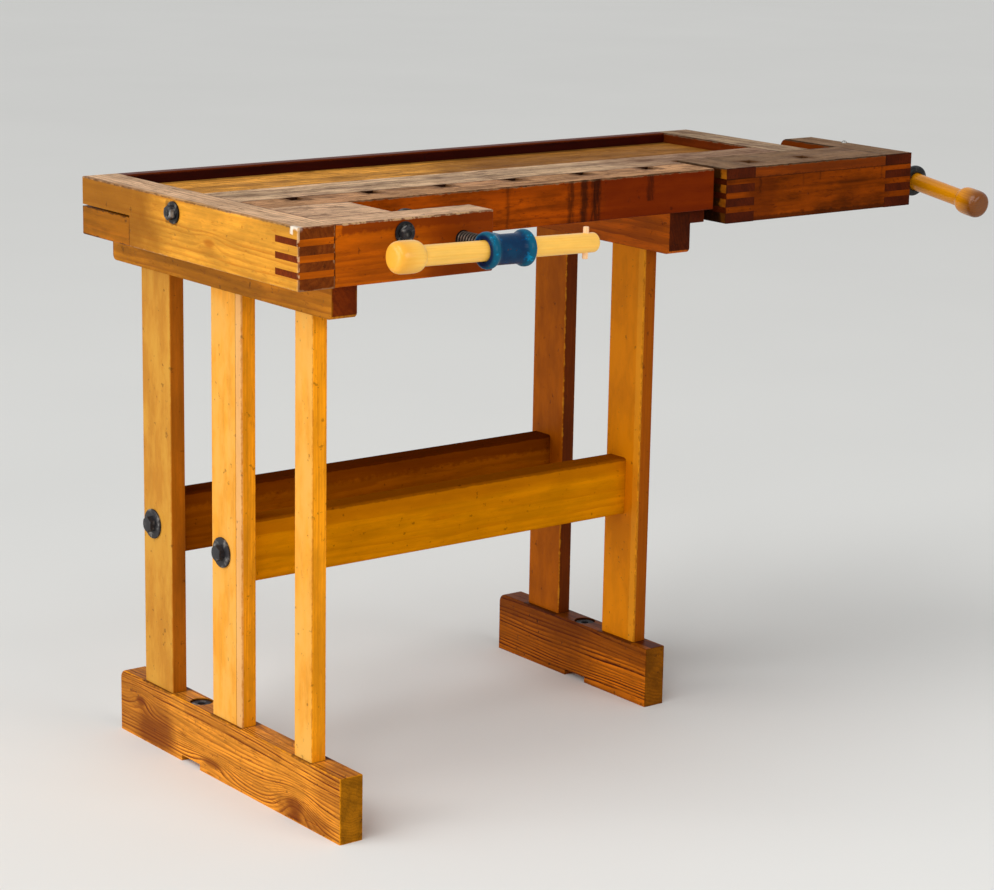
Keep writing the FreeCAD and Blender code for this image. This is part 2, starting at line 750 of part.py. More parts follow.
def shoulder_block():
    body = board(
        "shoulder_block",
        ("0", "shoulder_length"),
        ("arm_back", "strip_front"),
        ("jaw_low", "top"),
        "right high, right low",
    )
    start = ("shoulder_tie_x", "arm_back - 1", "tie_z")
    bore(body, start, "y", "tie_bore", "vise_opening + 2")


def fixed_jaw_block():
    """Brings the bench's side of the tail vise's jaw down to the tail vise's own depth."""
    board(
        "fixed_jaw_block",
        ("strip_right - jaw_block_length", "strip_right"),
        ("strip_front + jaw_block_setback", "recess_front"),
        ("slab_low - jaw_block_height", "slab_low"),
        "front low",
    )


def right_end_cap():
    """Its tongue reaches forward inside the tail vise and holds the tail screw's nut."""
    body = board(
        "right_end_cap",
        ("slab_length", "cap_right"),
        ("recess_front", "top_back"),
        ("jaw_low", "top"),
        "right high, right low, right back, back high",
    )
    block(
        body,
        ("slab_length", "cap_right"),
        ("tongue_front", "recess_front + edge_ease"),
        ("jaw_low + tongue_lift", "top - tongue_drop"),
    )
    notch(
        body,
        ("slab_length - 1", "cap_right + 1"),
        ("guide_front - slide_play", "guide_back + slide_play"),
        ("jaw_low - 1", "slab_low"),
    )
    start = ("slab_length - 1", "tail_screw_y", "tail_screw_z")
    bore(body, start, "x", "wood_bore", "right_cap_thickness + 2")
    bore(body, moved(TAIL_NUT, "x", "1"), "-x", "sleeve_bore", "nut_length + 2")
    screw_holes(body, around(TAIL_NUT, "-x"), "-x")
    bore(body, moved(RIGHT_TIE, "x", "1"), "-x", "tie_bore", "right_cap_thickness + 2")


def guide_keeper():
    """A channel under the slab, open along the bench, that the tail vise's guide rail slides in."""
    x = ("keeper_left", "keeper_left + keeper_length")
    body = board(
        "guide_keeper",
        x,
        ("guide_front - slide_play - keeper_wall", "guide_back + slide_play + keeper_wall"),
        ("guide_low - slide_play - keeper_wall", "slab_low"),
    )
    notch(
        body,
        ("keeper_left - 1", "keeper_left + keeper_length + 1"),
        ("guide_front - slide_play", "guide_back + slide_play"),
        ("guide_low - slide_play", "slab_low + 1"),
    )
    screw_holes(body, KEEPER_SCREWS, "z", "keeper_screw_length", True)


# ---------------------------------------------------------------------------------------------------------
# Trestles
# ---------------------------------------------------------------------------------------------------------

def foot_middle(side):
    return f"({side}_foot_left + {side}_foot_right) / 2"


def bearer_middle(side):
    return f"({side}_bearer_left + {side}_bearer_right) / 2"


def tenon_sides(side, post, play="0"):
    """A tenon's sides along x and y; play widens it to its mortise."""
    front, back = POSTS[post]
    middle = f"({side}_post_left + {side}_post_right) / 2"
    x = (f"{middle} - tenon_thickness / 2 - {play}", f"{middle} + tenon_thickness / 2 + {play}")
    y = (f"{front} + tenon_shoulder - {play}", f"{back} - tenon_shoulder + {play}")
    return x, y


def foot(side, front):
    """Mortised for its posts, relieved below, and bored for a floor fixing between them."""
    body = keep(body_at(f"{side}_foot"))
    x = (f"{side}_foot_left", f"{side}_foot_right")
    stock = block(body, x, (front, "foot_back"), ("0", "foot_height"))
    DOC.recompute()
    rear = rounded(body, stock, "foot_round", edges_between(stock.Shape, "back high"))
    eased = "left high, right high, front high, left front, right front, left back, right back"
    rounded(body, rear, "edge_ease", edges_between(rear.Shape, eased))
    for post in TRESTLES[side]:
        x, y = tenon_sides(side, post, "tenon_play")
        notch(body, x, y, ("foot_height - foot_tenon - tenon_play", "foot_height + 1"))
    notch(
        body,
        (f"{side}_foot_left - 1", f"{side}_foot_right + 1"),
        ("relief_middle - relief_length / 2", "relief_middle + relief_length / 2"),
        ("-1", "relief_height"),
    )
    middle = (foot_middle(side), "relief_middle")
    bore(body, (*middle, "0"), "z", "fixing_bore", "foot_height + 1")
    bore(body, (*middle, "foot_height + 1"), "-z", "fixing_recess", "recess_depth + 1")


def post_piece(side, post):
    """A post with a tenon at each end; all but the front one are bored for a stretcher bolt."""
    body = board(
        f"{side}_{post}_post",
        (f"{side}_post_left", f"{side}_post_right"),
        POSTS[post],
        ("foot_height", "bearer_low"),
        "left front, right front, left back, right back",
    )
    x, y = tenon_sides(side, post)
    block(body, x, y, ("foot_height - foot_tenon", "bearer_low + bearer_tenon"))
    if post in STRETCHER_FRONTS:
        start = (f"{side}_post_left - 1", stretcher_y(post), "stretcher_middle")
        bore(body, start, "x", "bolt_bore", "post_thickness + 2")


def bearer(side, front):
    """Its lower end corners are rounded; the left one is cut down where the shoulder vise rests on it."""
    body = keep(body_at(f"{side}_bearer"))
    x = (f"{side}_bearer_left", f"{side}_bearer_right")
    stock = block(body, x, (front, "bearer_back"), ("bearer_low", "slab_low"))
    DOC.recompute()
    rounded(body, stock, "bearer_round", edges_between(stock.Shape, "front low, back low"))
    if side == "left":
        notch(body, ("-1", "bearer_width + 1"), (f"{front} - 1", "strip_front"), ("jaw_low", "slab_low + 1"))
    for post in TRESTLES[side]:
        x, y = tenon_sides(side, post, "tenon_play")
        notch(body, x, y, ("bearer_low - 1", "bearer_low + bearer_tenon + tenon_play"))
    for y in ("coach_front", "coach_back"):
        start = (bearer_middle(side), y, "bearer_low - 1")
        bore(body, start, "z", "coach_shank + 2 * pin_play", "bearer_height + 2")
        bore(body, start, "z", "coach_recess", "coach_recess_depth + 1")


def top_coach_screws():
    """Their heads sit at the bottom of the bearers' counterbores."""
    screws = []
    for side in TRESTLES:
        for y in ("coach_front", "coach_back"):
            place = (bearer_middle(side), y, "bearer_low + coach_recess_depth - head_height")
            body = body_at(f"{side}_{y}_screw", place)
            hexagon(body, "0", "coach_head", "head_height")
            length = "bearer_height - coach_recess_depth + coach_bite + 1"
            rod(body, ("0", "0", "head_height - 1"), "z", "coach_shank", length)
            screws.append(body)
    group("top_coach_screws", screws)


def foot_washers():
    washers = []
    for side in TRESTLES:
        recess = (foot_middle(side), "relief_middle", "foot_height - recess_depth")
        washers.append(washer(f"{side}_foot_washer", recess, "-z", "fixing_washer", "fixing_bore"))
    group("foot_washers", washers)


def stretcher_y(post):
    return f"{STRETCHER_FRONTS[post]} + stretcher_thickness / 2"


def stretcher(name, post):
    """Butted between the posts, bored along for a bolt and from below for a barrel nut at each end."""
    front = STRETCHER_FRONTS[post]
    body = keep(body_at(name))
    stock = block(
        body,
        ("left_post_right", "right_post_left"),
        (front, f"{front} + stretcher_thickness"),
        ("stretcher_low", "stretcher_low + stretcher_height"),
    )
    DOC.recompute()
    edges = edges_between(stock.Shape, "front high, front low, back high, back low")
    rounded(body, stock, "2 * edge_ease", edges)
    for end, inward in (("left_post_right", "x"), ("right_post_left", "-x")):
        start = moved((end, stretcher_y(post), "stretcher_middle"), opposite(inward), "1")
        bore(body, start, inward, "bolt_bore", "bolt_grip + bolt_point + 3")
        nut = moved((end, stretcher_y(post), "stretcher_low - 1"), inward, "bolt_grip")
        bore(body, nut, "z", "barrel_nut + 2 * pin_play", "(stretcher_height + barrel_length) / 2 + 1")


def stretcher_hardware():
    """Bolts through the posts into barrel nuts, each with a large washer under its head."""
    bolts = []
    washers = []
    nuts = []
    for side, face, inward in (("left", "left_post_left", "x"), ("right", "right_post_right", "-x")):
        for post in STRETCHER_FRONTS:
            name = f"{side}_{post}"
            place = (face, stretcher_y(post), "stretcher_middle")
            washers.append(washer(f"{name}_washer", place, inward, "big_washer", "bolt_bore"))
            head = moved(place, opposite(inward), "washer_thickness + head_height")
            bolt = body_at(f"{name}_bolt", head, inward)
            hexagon(bolt, "0", "bolt_head", "head_height")
            length = "washer_thickness + post_thickness + bolt_grip + bolt_point + 1"
            rod(bolt, ("0", "0", "head_height - 1"), "z", "stretcher_bolt", length)
            bolts.append(bolt)
            spot = moved(place, inward, "post_thickness + bolt_grip")
            nut = body_at(f"{name}_nut", moved(spot, "-z", "barrel_length / 2"))
            rod(nut, ("0", "0", "0"), "z", "barrel_nut", "barrel_length")
            start = ("0 - barrel_nut", "0", "barrel_length / 2")
            bore(nut, start, "x", "stretcher_bolt + 2 * pin_play", "2 * barrel_nut")
            nuts.append(nut)
    group("stretcher_bolts", bolts)
    group("stretcher_washers", washers)
    group("stretcher_barrel_nuts", nuts)


# ---------------------------------------------------------------------------------------------------------
# Tie rods of the top
# ---------------------------------------------------------------------------------------------------------

def tie_rods():
    """Threaded rods: a nut and washer outside, a captured nut in the slab."""
    nuts = []
    washers = []
    outside = "washer_thickness + tie_nut_height + tie_stub"
    ends = (
        ("left", LEFT_TIE, "x", "cap_thickness + tie_reach"),
        ("right", RIGHT_TIE, "-x", "right_cap_thickness + tie_reach"),
        ("shoulder", SHOULDER_TIE, "y", "strip_back - arm_front + shoulder_reach"),
    )
    for name, place, inward, reach in ends:
        outward = opposite(inward)
        rod_body = keep(body_at(f"{name}_tie_rod", moved(place, outward, outside), inward))
        rod(rod_body, ("0", "0", "0"), "z", "tie_bolt", f"{outside} + {reach} + pocket_length / 2")
        washers.append(washer(f"{name}_tie_washer", place, inward, "tie_washer", "tie_bore"))
        outer = moved(place, outward, "washer_thickness + tie_nut_height")
        nuts.append(tie_nut(f"{name}_outer_nut", outer, inward))
        inner = moved(place, inward, f"{reach} - pocket_length / 2")
        nuts.append(tie_nut(f"{name}_captured_nut", inner, inward))
    group("tie_nuts", nuts)
    group("tie_washers", washers)


# ---------------------------------------------------------------------------------------------------------
# Vise screws, hubs and handles
# ---------------------------------------------------------------------------------------------------------

def vise_nut(name, place, inward):
    """A flanged nut: the flange lies on the wood and the sleeve reaches into it."""
    body = keep(body_at(name, place, inward))
    rod(body, ("0", "0", "0 - flange_thickness"), "z", "nut_flange", "flange_thickness")
    rod(body, ("0", "0", "-1"), "z", "nut_sleeve", "nut_length + 1")
    start = ("0", "0", "-1 - flange_thickness")
    bore(body, start, "z", "nut_bore", "nut_length + flange_thickness + 2")
    places = around(("0", "0", "0 - flange_thickness"), "z")
    screw_holes(body, places, "z", countersunk=True)


def around(place, direction):
    """Four places about a vise screw for wood screws, at the corners of a square."""
    corner = "flange_screw_circle / 2 * sqrt(0.5)"
    first, second = {"x": ("y", "z"), "y": ("x", "z"), "z": ("x", "y")}[direction[-1]]
    places = []
    for way in (first, f"-{first}"):
        for other in (second, f"-{second}"):
            places.append(moved(moved(place, way, corner), other, corner))
    return places


def hub(name, place, direction, boss_reach):
    """A spool: flanges along its own x, which the handle follows, and a boss along its own z."""
    body = keep(body_at(name, place, direction))
    left = "0 - hub_length / 2"
    rod(body, (left, "0", "0"), "x", "hub_neck", "hub_length")
    rod(body, (left, "0", "0"), "x", "hub_flange", "hub_flange_width")
    rod(body, ("hub_length / 2 - hub_flange_width", "0", "0"), "x", "hub_flange", "hub_flange_width")
    rod(body, ("0", "0", "0"), "z", "hub_boss", boss_reach)
    bore(body, ("0 - hub_length", "0", "0"), "x", "handle_rod + 2 * handle_play", "2 * hub_length")
    bore(body, ("0", "0", "0"), "z", "screw_thread + 2 * pin_play", f"{boss_reach} + 1")
    bore(body, ("0 - hub_boss", "0", "hub_pin_place"), "x", "hub_pin + 2 * pin_play", "2 * hub_boss")


def hub_pin(name, place, direction):
    """Goes through boss and screw, so that the handle drives the screw."""
    body = keep(body_at(name, place, direction))
    rod(body, ("0 - hub_boss / 2", "0", "hub_pin_place"), "x", "hub_pin", "hub_boss")


def vise_screw(name, place, direction, corners):
    """A screw from the floor of its hub's boss, crossed by the hub's pin."""
    body = keep(body_at(name, place, direction))
    turned(body, (("0", "screw_start"), ("screw_thread / 2", "screw_start"), *corners))
    bore(body, ("0 - hub_boss", "0", "hub_pin_place"), "x", "hub_pin + 2 * pin_play", "2 * hub_boss")


def handle(name, place, direction):
    """A turned rod with a barrel knob, crossed by a pin near its free end."""
    body = keep(body_at(name, place, direction))
    knob = rod(body, ("0", "0", "rod_start - knob_length"), "z", "knob_size", "knob_length")
    DOC.recompute()
    rims = [f"Edge{n}" for n, edge in enumerate(knob.Shape.Edges, 1) if len(edge.Vertexes) == 1]
    rounded(body, knob, "knob_size / 4", rims)
    shaft = rod(
        body, ("0", "0", "rod_start - knob_length / 2"), "z", "handle_rod", "rod_length + knob_length / 2"
    )
    DOC.recompute()
    tip = [
        f"Edge{n}"
        for n, edge in enumerate(shaft.Shape.Edges, 1)
        if all(abs(vertex.Point.z - shaft.Shape.BoundBox.ZMax) < 1e-6 for vertex in edge.Vertexes)
    ]
    rounded(body, shaft, "handle_rod / 4", tip)
    start = ("0", "0 - handle_rod", "cross_pin_place")
    bore(body, start, "y", "handle_pin + 2 * pin_play", "2 * handle_rod")
    pin = keep(body_at(f"{name}_pin", place, direction))
    rod(pin, ("0", "0 - handle_pin_length / 2", "cross_pin_place"), "y", "handle_pin", "handle_pin_length")


def swivel_plate():
    """A round plate with a socket whose lip is closed over the screw's end."""
    body = keep(body_at("swivel_plate", ("front_screw_x", "plate_back", "front_screw_z"), "-y"))
    mouth = "plate_thickness + plate_boss_length"
    floor = f"{mouth} - plate_lip - 2 * face_play - spigot_head_length"
    turned(
        body,
        (
            ("0", "0"),
            ("plate_size / 2", "0"),
            ("plate_size / 2", "plate_thickness"),
            ("plate_boss / 2", "plate_thickness"),
            ("plate_boss / 2", mouth),
            ("spigot_neck / 2 + face_play", mouth),
            ("spigot_neck / 2 + face_play", f"{mouth} - plate_lip"),
            ("spigot_head / 2 + face_play", f"{mouth} - plate_lip"),
            ("spigot_head / 2 + face_play", floor),
            ("0", floor),
        ),
    )


def front_vise():
    place = ("front_screw_x", "front_hub_y", "front_screw_z")
    vise_nut("front_vise_nut", FRONT_NUT, "-y")
    wood_screws("front_nut_screws", around(FRONT_FLANGE, "-y"), "-y")
    swivel_plate()
    shoulder = "plate_front - face_play - front_hub_y"
    neck = f"{shoulder} + plate_lip + 2 * face_play"
    vise_screw(
        "front_screw",
        place,
        "front hub",
        (
            ("screw_thread / 2", shoulder),
            ("spigot_neck / 2", shoulder),
            ("spigot_neck / 2", neck),
            ("spigot_head / 2", neck),
            ("spigot_head / 2", f"{neck} + spigot_head_length"),
            ("0", f"{neck} + spigot_head_length"),
        ),
    )
    hub("front_hub", place, "front hub", "front_boss_reach")
    hub_pin("front_hub_pin", place, "front hub")
    handle("front_handle", place, "front handle")


def tail_vise():
    """A box that slides along the end of the bench: jaw block, front board, top plate and end board."""
    jaw = board(
        "tail_jaw_block",
        ("tail_left", "tail_inner_left"),
        ("tail_front", "tail_back"),
        ("jaw_low", "top"),
        "left high, left low, left front",
    )
    joint_y = ("tail_front - 1", "tail_board_back")
    cut_joint(jaw, "slots", ("tail_left - 1", "tail_inner_left + 1"), joint_y)
    front = board(
        "tail_front_board",
        ("tail_left", "tail_right"),
        ("tail_front", "tail_board_back"),
        ("jaw_low", "top"),
        "front low, left front, right front",
    )
    whole_y = ("tail_front - 1", "tail_board_back + 1")
    notch(front, ("tail_inner_left", "tail_inner_right"), whole_y, ("top - tail_plate", "top + 1"))
    cut_joint(front, "fingers", ("tail_left - 1", "tail_inner_left"), whole_y)
    cut_joint(front, "fingers", ("tail_inner_right", "tail_right + 1"), whole_y)
    plate = board(
        "tail_top_plate",
        ("tail_inner_left", "tail_inner_right"),
        ("tail_front", "tail_back"),
        ("top - tail_plate", "top"),
        "front high",
    )
    for index in range(2):
        middle = f"tail_left + tail_dog_first + {index} * tail_dog_pitch"
        hole_back = "tail_front + tail_dog_back"
        notch(
            plate,
            (f"{middle} - dog_hole / 2", f"{middle} + dog_hole / 2"),
            (f"{hole_back} - dog_hole", hole_back),
            ("top - tail_plate - 1", "top + 1"),
        )
    board(
        "tail_guide_rail",
        ("guide_left", "guide_right"),
        ("guide_front", "guide_back"),
        ("guide_low", "guide_high"),
    )
    stud = keep(body_at("end_board_screw", ("tail_right - stud_inset", "stud_y", "top")))
    rod(stud, ("0", "0", "0"), "z", "stud_head", "stud_head_height")
    rod(stud, ("0", "0", "1"), "-z", "wood_screw", "wood_screw_length + 1")


def end_board():
    """Right end of the tail vise, rounded over at the rear and bored for the screw."""
    body = keep(body_at("tail_end_board"))
    stock = block(
        body, ("tail_inner_right", "tail_right"), ("tail_front", "end_board_back"), ("jaw_low", "top")
    )
    DOC.recompute()
    rear = rounded(body, stock, "end_board_round", edges_between(stock.Shape, "back high"))
    rounded(body, rear, "edge_ease", edges_between(rear.Shape, "right high, right low, right front"))
    across = ("tail_inner_right - 1", "tail_right + 1")
    cut_joint(body, "slots", across, ("tail_front - 1", "tail_board_back"))
    start = ("tail_inner_right - 1", "tail_screw_y", "tail_screw_z")
    bore(body, start, "x", "wood_bore", "tail_block + 2")
    notch(
        body,
        ("tail_inner_right - 1", "guide_right"),
        ("guide_front", "guide_back"),
        ("guide_low", "guide_high"),
    )
    stud = ("tail_right - stud_inset", "stud_y", "top + 1")
    bore(body, stud, "-z", "wood_screw + 2 * pin_play", "wood_screw_length + 2")
    screw_holes(body, around(THRUST_PLATE, "-x"), "-x")


def tail_screw_set():
    """The hub outside and the collar inside hold the end board between them."""
    vise_nut("tail_vise_nut", TAIL_NUT, "-x")
    wood_screws("tail_nut_screws", around(TAIL_FLANGE, "-x"), "-x")
    thrust = keep(body_at("tail_thrust_plate", THRUST_FACE, "-x"))
    rod(thrust, ("0", "0", "0"), "z", "thrust_plate", "flange_thickness")
    bore(thrust, ("0", "0", "-1"), "z", "nut_bore", "flange_thickness + 2")
    screw_holes(thrust, around(("0", "0", "0"), "z"), "z", countersunk=True)
    wood_screws("thrust_plate_screws", around(THRUST_FACE, "-x"), "-x")
    inside = ("tail_inner_right - face_play", "tail_screw_y", "tail_screw_z")
    collar = keep(body_at("tail_collar", inside, "-x"))
    rod(collar, ("0", "0", "0"), "z", "collar", "collar_width")
    bore(collar, ("0", "0", "-1"), "z", "screw_thread + 2 * pin_play", "collar_width + 2")
    place = ("tail_hub_x", "tail_screw_y", "tail_screw_z")
    reach = "tail_hub_x - tail_screw_left"
    ending = (("screw_thread / 2", f"{reach} - screw_thread / 4"), ("screw_thread / 4", reach), ("0", reach))
    vise_screw("tail_screw", place, "tail hub", ending)
    hub("tail_hub", place, "tail hub", "tail_boss_reach")
    hub_pin("tail_hub_pin", place, "tail hub")
    handle("tail_handle", place, "tail handle")


# ---------------------------------------------------------------------------------------------------------
# Build, check and write
# ---------------------------------------------------------------------------------------------------------

def build():
    main_slab()
    front_strip()
    tray_bottom()
    back_rail()
    left_end_cap()
    end_cap_block()
    vise_arm()
    shoulder_block()
    fixed_jaw_block()
    right_end_cap()
    guide_keeper()
    wood_screws("keeper_screws", KEEPER_SCREWS, "z", "keeper_screw_length")
    foot("left", "0")
    foot("right", "right_foot_front")
    bearer("left", "left_bearer_front")
    bearer("right", "right_bearer_front")
    for side, posts in TRESTLES.items():
        for post in posts:
            post_piece(side, post)
    top_coach_screws()
    foot_washers()
    stretcher("front_stretcher", "middle")
    stretcher("back_stretcher", "back")
    stretcher_hardware()
    tie_rods()
    front_vise()
    tail_vise()
    end_board()
    tail_screw_set()


def check():
    """Stops if any object failed or any node's shape is empty or broken."""
    for item in DOC.Objects:
        if {"Invalid", "Error"} & set(item.State):
            raise RuntimeError(f"{item.Name} failed: {item.State}")
    for name, item in NODES.items():
        shape = item.Shape
        if shape.isNull() or not shape.isValid() or shape.Volume <= 0:
            raise RuntimeError(f"{name} has no sound shape")


def write():
    os.makedirs("parts", exist_ok=True)
    outline = FreeCAD.BoundBox()
    for name, item in NODES.items():
        item.Label = name
        item.Shape.exportStep(f"parts/{name}.step")
        outline.add(item.Shape.BoundBox)
    print(len(NODES), "nodes", outline)


fill_sheet()
build()
DOC.recompute()
check()
write()
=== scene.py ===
import math

import bmesh
import bpy
import numpy as np
from bpy.props import FloatProperty, FloatVectorProperty, PointerProperty
from mathutils import Matrix, Vector


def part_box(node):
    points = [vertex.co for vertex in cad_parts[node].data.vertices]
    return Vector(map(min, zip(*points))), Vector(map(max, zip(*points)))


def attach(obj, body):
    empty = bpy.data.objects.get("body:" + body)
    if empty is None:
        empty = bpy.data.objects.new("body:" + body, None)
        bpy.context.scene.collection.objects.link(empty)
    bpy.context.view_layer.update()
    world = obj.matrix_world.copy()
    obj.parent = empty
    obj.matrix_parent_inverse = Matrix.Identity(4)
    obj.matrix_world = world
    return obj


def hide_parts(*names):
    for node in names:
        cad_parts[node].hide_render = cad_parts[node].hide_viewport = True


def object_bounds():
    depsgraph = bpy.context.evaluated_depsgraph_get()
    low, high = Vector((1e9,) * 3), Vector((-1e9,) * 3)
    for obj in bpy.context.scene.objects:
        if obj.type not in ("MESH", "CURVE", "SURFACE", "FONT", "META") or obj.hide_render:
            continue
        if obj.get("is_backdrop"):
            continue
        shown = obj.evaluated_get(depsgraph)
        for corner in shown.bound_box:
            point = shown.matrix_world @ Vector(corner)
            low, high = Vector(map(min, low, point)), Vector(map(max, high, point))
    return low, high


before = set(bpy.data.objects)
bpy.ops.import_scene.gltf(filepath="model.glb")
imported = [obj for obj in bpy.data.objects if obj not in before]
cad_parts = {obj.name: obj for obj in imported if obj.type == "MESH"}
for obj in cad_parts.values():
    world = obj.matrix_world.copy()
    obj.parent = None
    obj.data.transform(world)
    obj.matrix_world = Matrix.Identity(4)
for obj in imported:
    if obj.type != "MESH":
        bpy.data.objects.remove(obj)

bl_info = {
    "name": "Joiner's Workbench",
    "version": (1, 0, 0),
    "blender": (4, 5, 0),
    "location": "3D View > Sidebar > Workbench",
    "description": "Woods, castings, screws and handles of a joiner's bench with two vises",
    "category": "Add Mesh",
}

CAD_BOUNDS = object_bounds()
MM = 0.001

# Lengths in millimetres, shared by several boards
TOP_THICK = 62
FOOT_HEIGHT = 95
DOG_HOLE_HALF = 12.3
DOG_HOLES = [82 + 127 * number for number in range(6)]
TAIL_DOG_HOLES = (30, 142)
TAIL_PLATE_THICK = 17

# Threads: diameter, pitch and depth in millimetres
BOLT_THREAD = (12, 1.75, 0.9)
TIE_THREAD = (10, 1.5, 0.8)
COACH_THREAD = (8, 3.2, 1.0)
WOOD_THREAD = (4, 1.8, 0.6)

# Hexagons across their corners, and the height of a bolt's head, in millimetres
BOLT_HEAD, TIE_NUT, COACH_HEAD = 24, 21, 15
HEAD_HEIGHT = 9

BLOTCHY = (0.34, 0.66)  # rise of the broad noise that makes light and dark patches
WIDE_MARGIN = 12  # from here on, in millimetres, a mark's margin wavers slowly instead of in specks
SHARP_ANGLE = 38  # degrees between faces, over which an edge stays sharp
LIT_PLACE = (0, 0, 0.6)  # where the lamps point, in metres


# ---------------------------------------------------------------------------------------------------------
# Sizes and colours
# ---------------------------------------------------------------------------------------------------------

def ink(red, green, blue):
    """Scene-linear colour of a paint chip given in steps of 255."""
    steps = np.array((red, green, blue)) / 255
    linear = np.where(steps <= 0.04045, steps / 12.92, ((steps + 0.055) / 1.055) ** 2.4)
    return tuple(float(part) for part in linear)


def tint(name, description, *chip):
    """A colour that the user can change."""
    return FloatVectorProperty(
        name=name, description=description, subtype="COLOR", size=3, min=0, max=1, default=ink(*chip)
    )


def size(name, description, millimetres):
    """A length that the user can change."""
    return FloatProperty(
        name=name, description=description, unit="LENGTH", min=0, default=millimetres * MM
    )


class WoodTints(bpy.types.PropertyGroup):
    """Colours of the woods."""

    post: tint("Posts", "Oiled beech of the left posts", 241, 152, 19)
    # Painted light: this colour paints the left posts' faces at the lowest x paler, as lit by the window;
    # it stays pale under any lamp.
    post_lit_side: tint("Posts, window side", "Bleached side of the left posts", 226, 166, 76)
    back_post: tint("Back post", "Darker beech of the left back post", 170, 94, 12)
    # Painted light: the back post's face at the lowest x, painted paler as lit by the window.
    back_post_lit_side: tint("Back post, window side", "Bleached side of the back post", 199, 144, 55)
    post_streak: tint("Post streaks", "Late wood of the posts", 176, 96, 14)
    right_post: tint("Right posts", "Beech of the right trestle", 151, 74, 1)
    # Painted light: the right posts' faces at the lowest x, painted lighter as lit by the window.
    right_post_lit_side: tint("Right posts, window side", "Lighter side of the right posts", 226, 135, 4)
    right_post_streak: tint("Right post streaks", "Late wood of the right posts", 124, 54, 2)
    right_back_post: tint("Right back post", "Darker beech of the right back post", 97, 38, 1)
    # Painted light: the right back post's face at the lowest x, painted lighter as lit by the window.
    right_back_lit_side: tint("Right back post, window side", "Its lighter side", 172, 89, 3)
    stretcher: tint("Front stretcher", "Beech of the front stretcher", 199, 122, 2)
    stretcher_streak: tint("Stretcher streaks", "Late wood of the stretchers", 160, 84, 3)
    back_stretcher: tint("Back stretcher", "Darker beech of the back stretcher", 142, 74, 1)
    foot: tint("Left foot", "Pine of the left foot", 220, 140, 41)
    foot_streak: tint("Left foot streaks", "Resin-dark late wood of the left foot", 99, 37, 2)
    foot_end: tint("Foot ends", "End grain of the feet", 148, 91, 2)
    right_foot: tint("Right foot", "Pine of the right foot", 207, 113, 12)
    right_foot_streak: tint("Right foot streaks", "Late wood of the right foot", 78, 28, 4)
    right_foot_end: tint("Right foot end", "End grain of the right foot", 120, 68, 3)
    cap: tint("Left end cap", "Beech of the left end cap", 211, 145, 45)
    cap_streak: tint("End cap streaks", "Late wood of the end cap", 168, 94, 14)
    cap_dark: tint("End cap's rear", "Darker rear end of the cap", 132, 77, 10)
    block: tint("End cap block", "Block let into the end cap", 136, 80, 7)
    bearer: tint("Left bearer", "Beech of the left bearer", 176, 109, 19)
    bearer_streak: tint("Bearer streaks", "Late wood of the bearers", 116, 58, 8)
    right_bearer: tint("Right bearer", "Beech of the right bearer", 187, 90, 2)
    arm: tint("Vise arm", "Red-brown beech of the vise arm", 177, 83, 1)
    # Painted shade where it darkens the arm's end; also the arm's darker upper band and arrises.
    arm_dark: tint("Vise arm's end", "Darker end of the vise arm", 119, 43, 2)
    arm_streak: tint("Vise arm streaks", "Late wood of the vise arm", 128, 52, 3)
    strip: tint("Dog-hole strip", "Red-brown front of the dog-hole strip", 151, 63, 1)
    strip_dark: tint("Strip's right end", "Darker right end of the strip", 99, 27, 1)
    strip_streak: tint("Strip streaks", "Dark streaks of the strip", 86, 28, 2)
    tail: tint("Tail vise", "Red-brown beech of the tail vise", 116, 48, 1)
    tail_streak: tint("Tail vise streaks", "Dark streaks of the tail vise", 84, 30, 2)
    # Painted light: this ochre is laid on the jaw block's face at the lowest x, as that face lit by the
    # window.
    tail_jaw: tint("Tail vise's jaw", "Ochre jaw face of the tail vise", 158, 93, 16)
    worn: tint("Worn top", "Bare grey-brown wood of the working surface", 230, 188, 149)
    worn_slab: tint("Worn slab", "Working surface of the slab", 217, 182, 144)
    worn_strip: tint("Worn strip", "Working surface along the dog holes", 209, 158, 113)
    worn_tail: tint("Worn tail vise", "Working surface of the tail vise", 138, 108, 78)
    worn_cap: tint("Worn right cap", "Working surface of the right end cap", 178, 150, 118)
    worn_streak: tint("Worn top streaks", "Grain and scratches of the working surface", 96, 62, 36)
    # Painted light: this colour is brighter than the bottom's wood, to make up for the shade of the tray's
    # walls.
    tray: tint("Tool tray", "Wood of the tray's bottom", 234, 163, 67)
    tray_streak: tint("Tray streaks", "Grain of the tray's bottom", 104, 58, 14)
    # Painted shade and dark wood: the back rail is painted nearly black, standing for the shade and dirt
    # inside the tray.
    rail: tint("Back rail", "Nearly black wood inside the tray", 50, 7, 1)
    rail_streak: tint("Back rail streaks", "Grain of the back rail", 26, 4, 2)
    cap_inside: tint("Right cap", "Brown wood of the right end cap", 97, 37, 4)
    end: tint("Dark end grain", "Oiled end grain", 104, 37, 4)
    tail_end: tint("Tail vise's end grain", "Oiled end grain of the tail vise", 68, 20, 2)
    # Dirt and painted shade: this colour darkens joints, dents and end grain, and is also painted as shade
    # in dog holes, recesses, creases and gaps.
    grime_and_shade: tint("Grime", "Oil and dirt in joints and holes", 22, 7, 3)
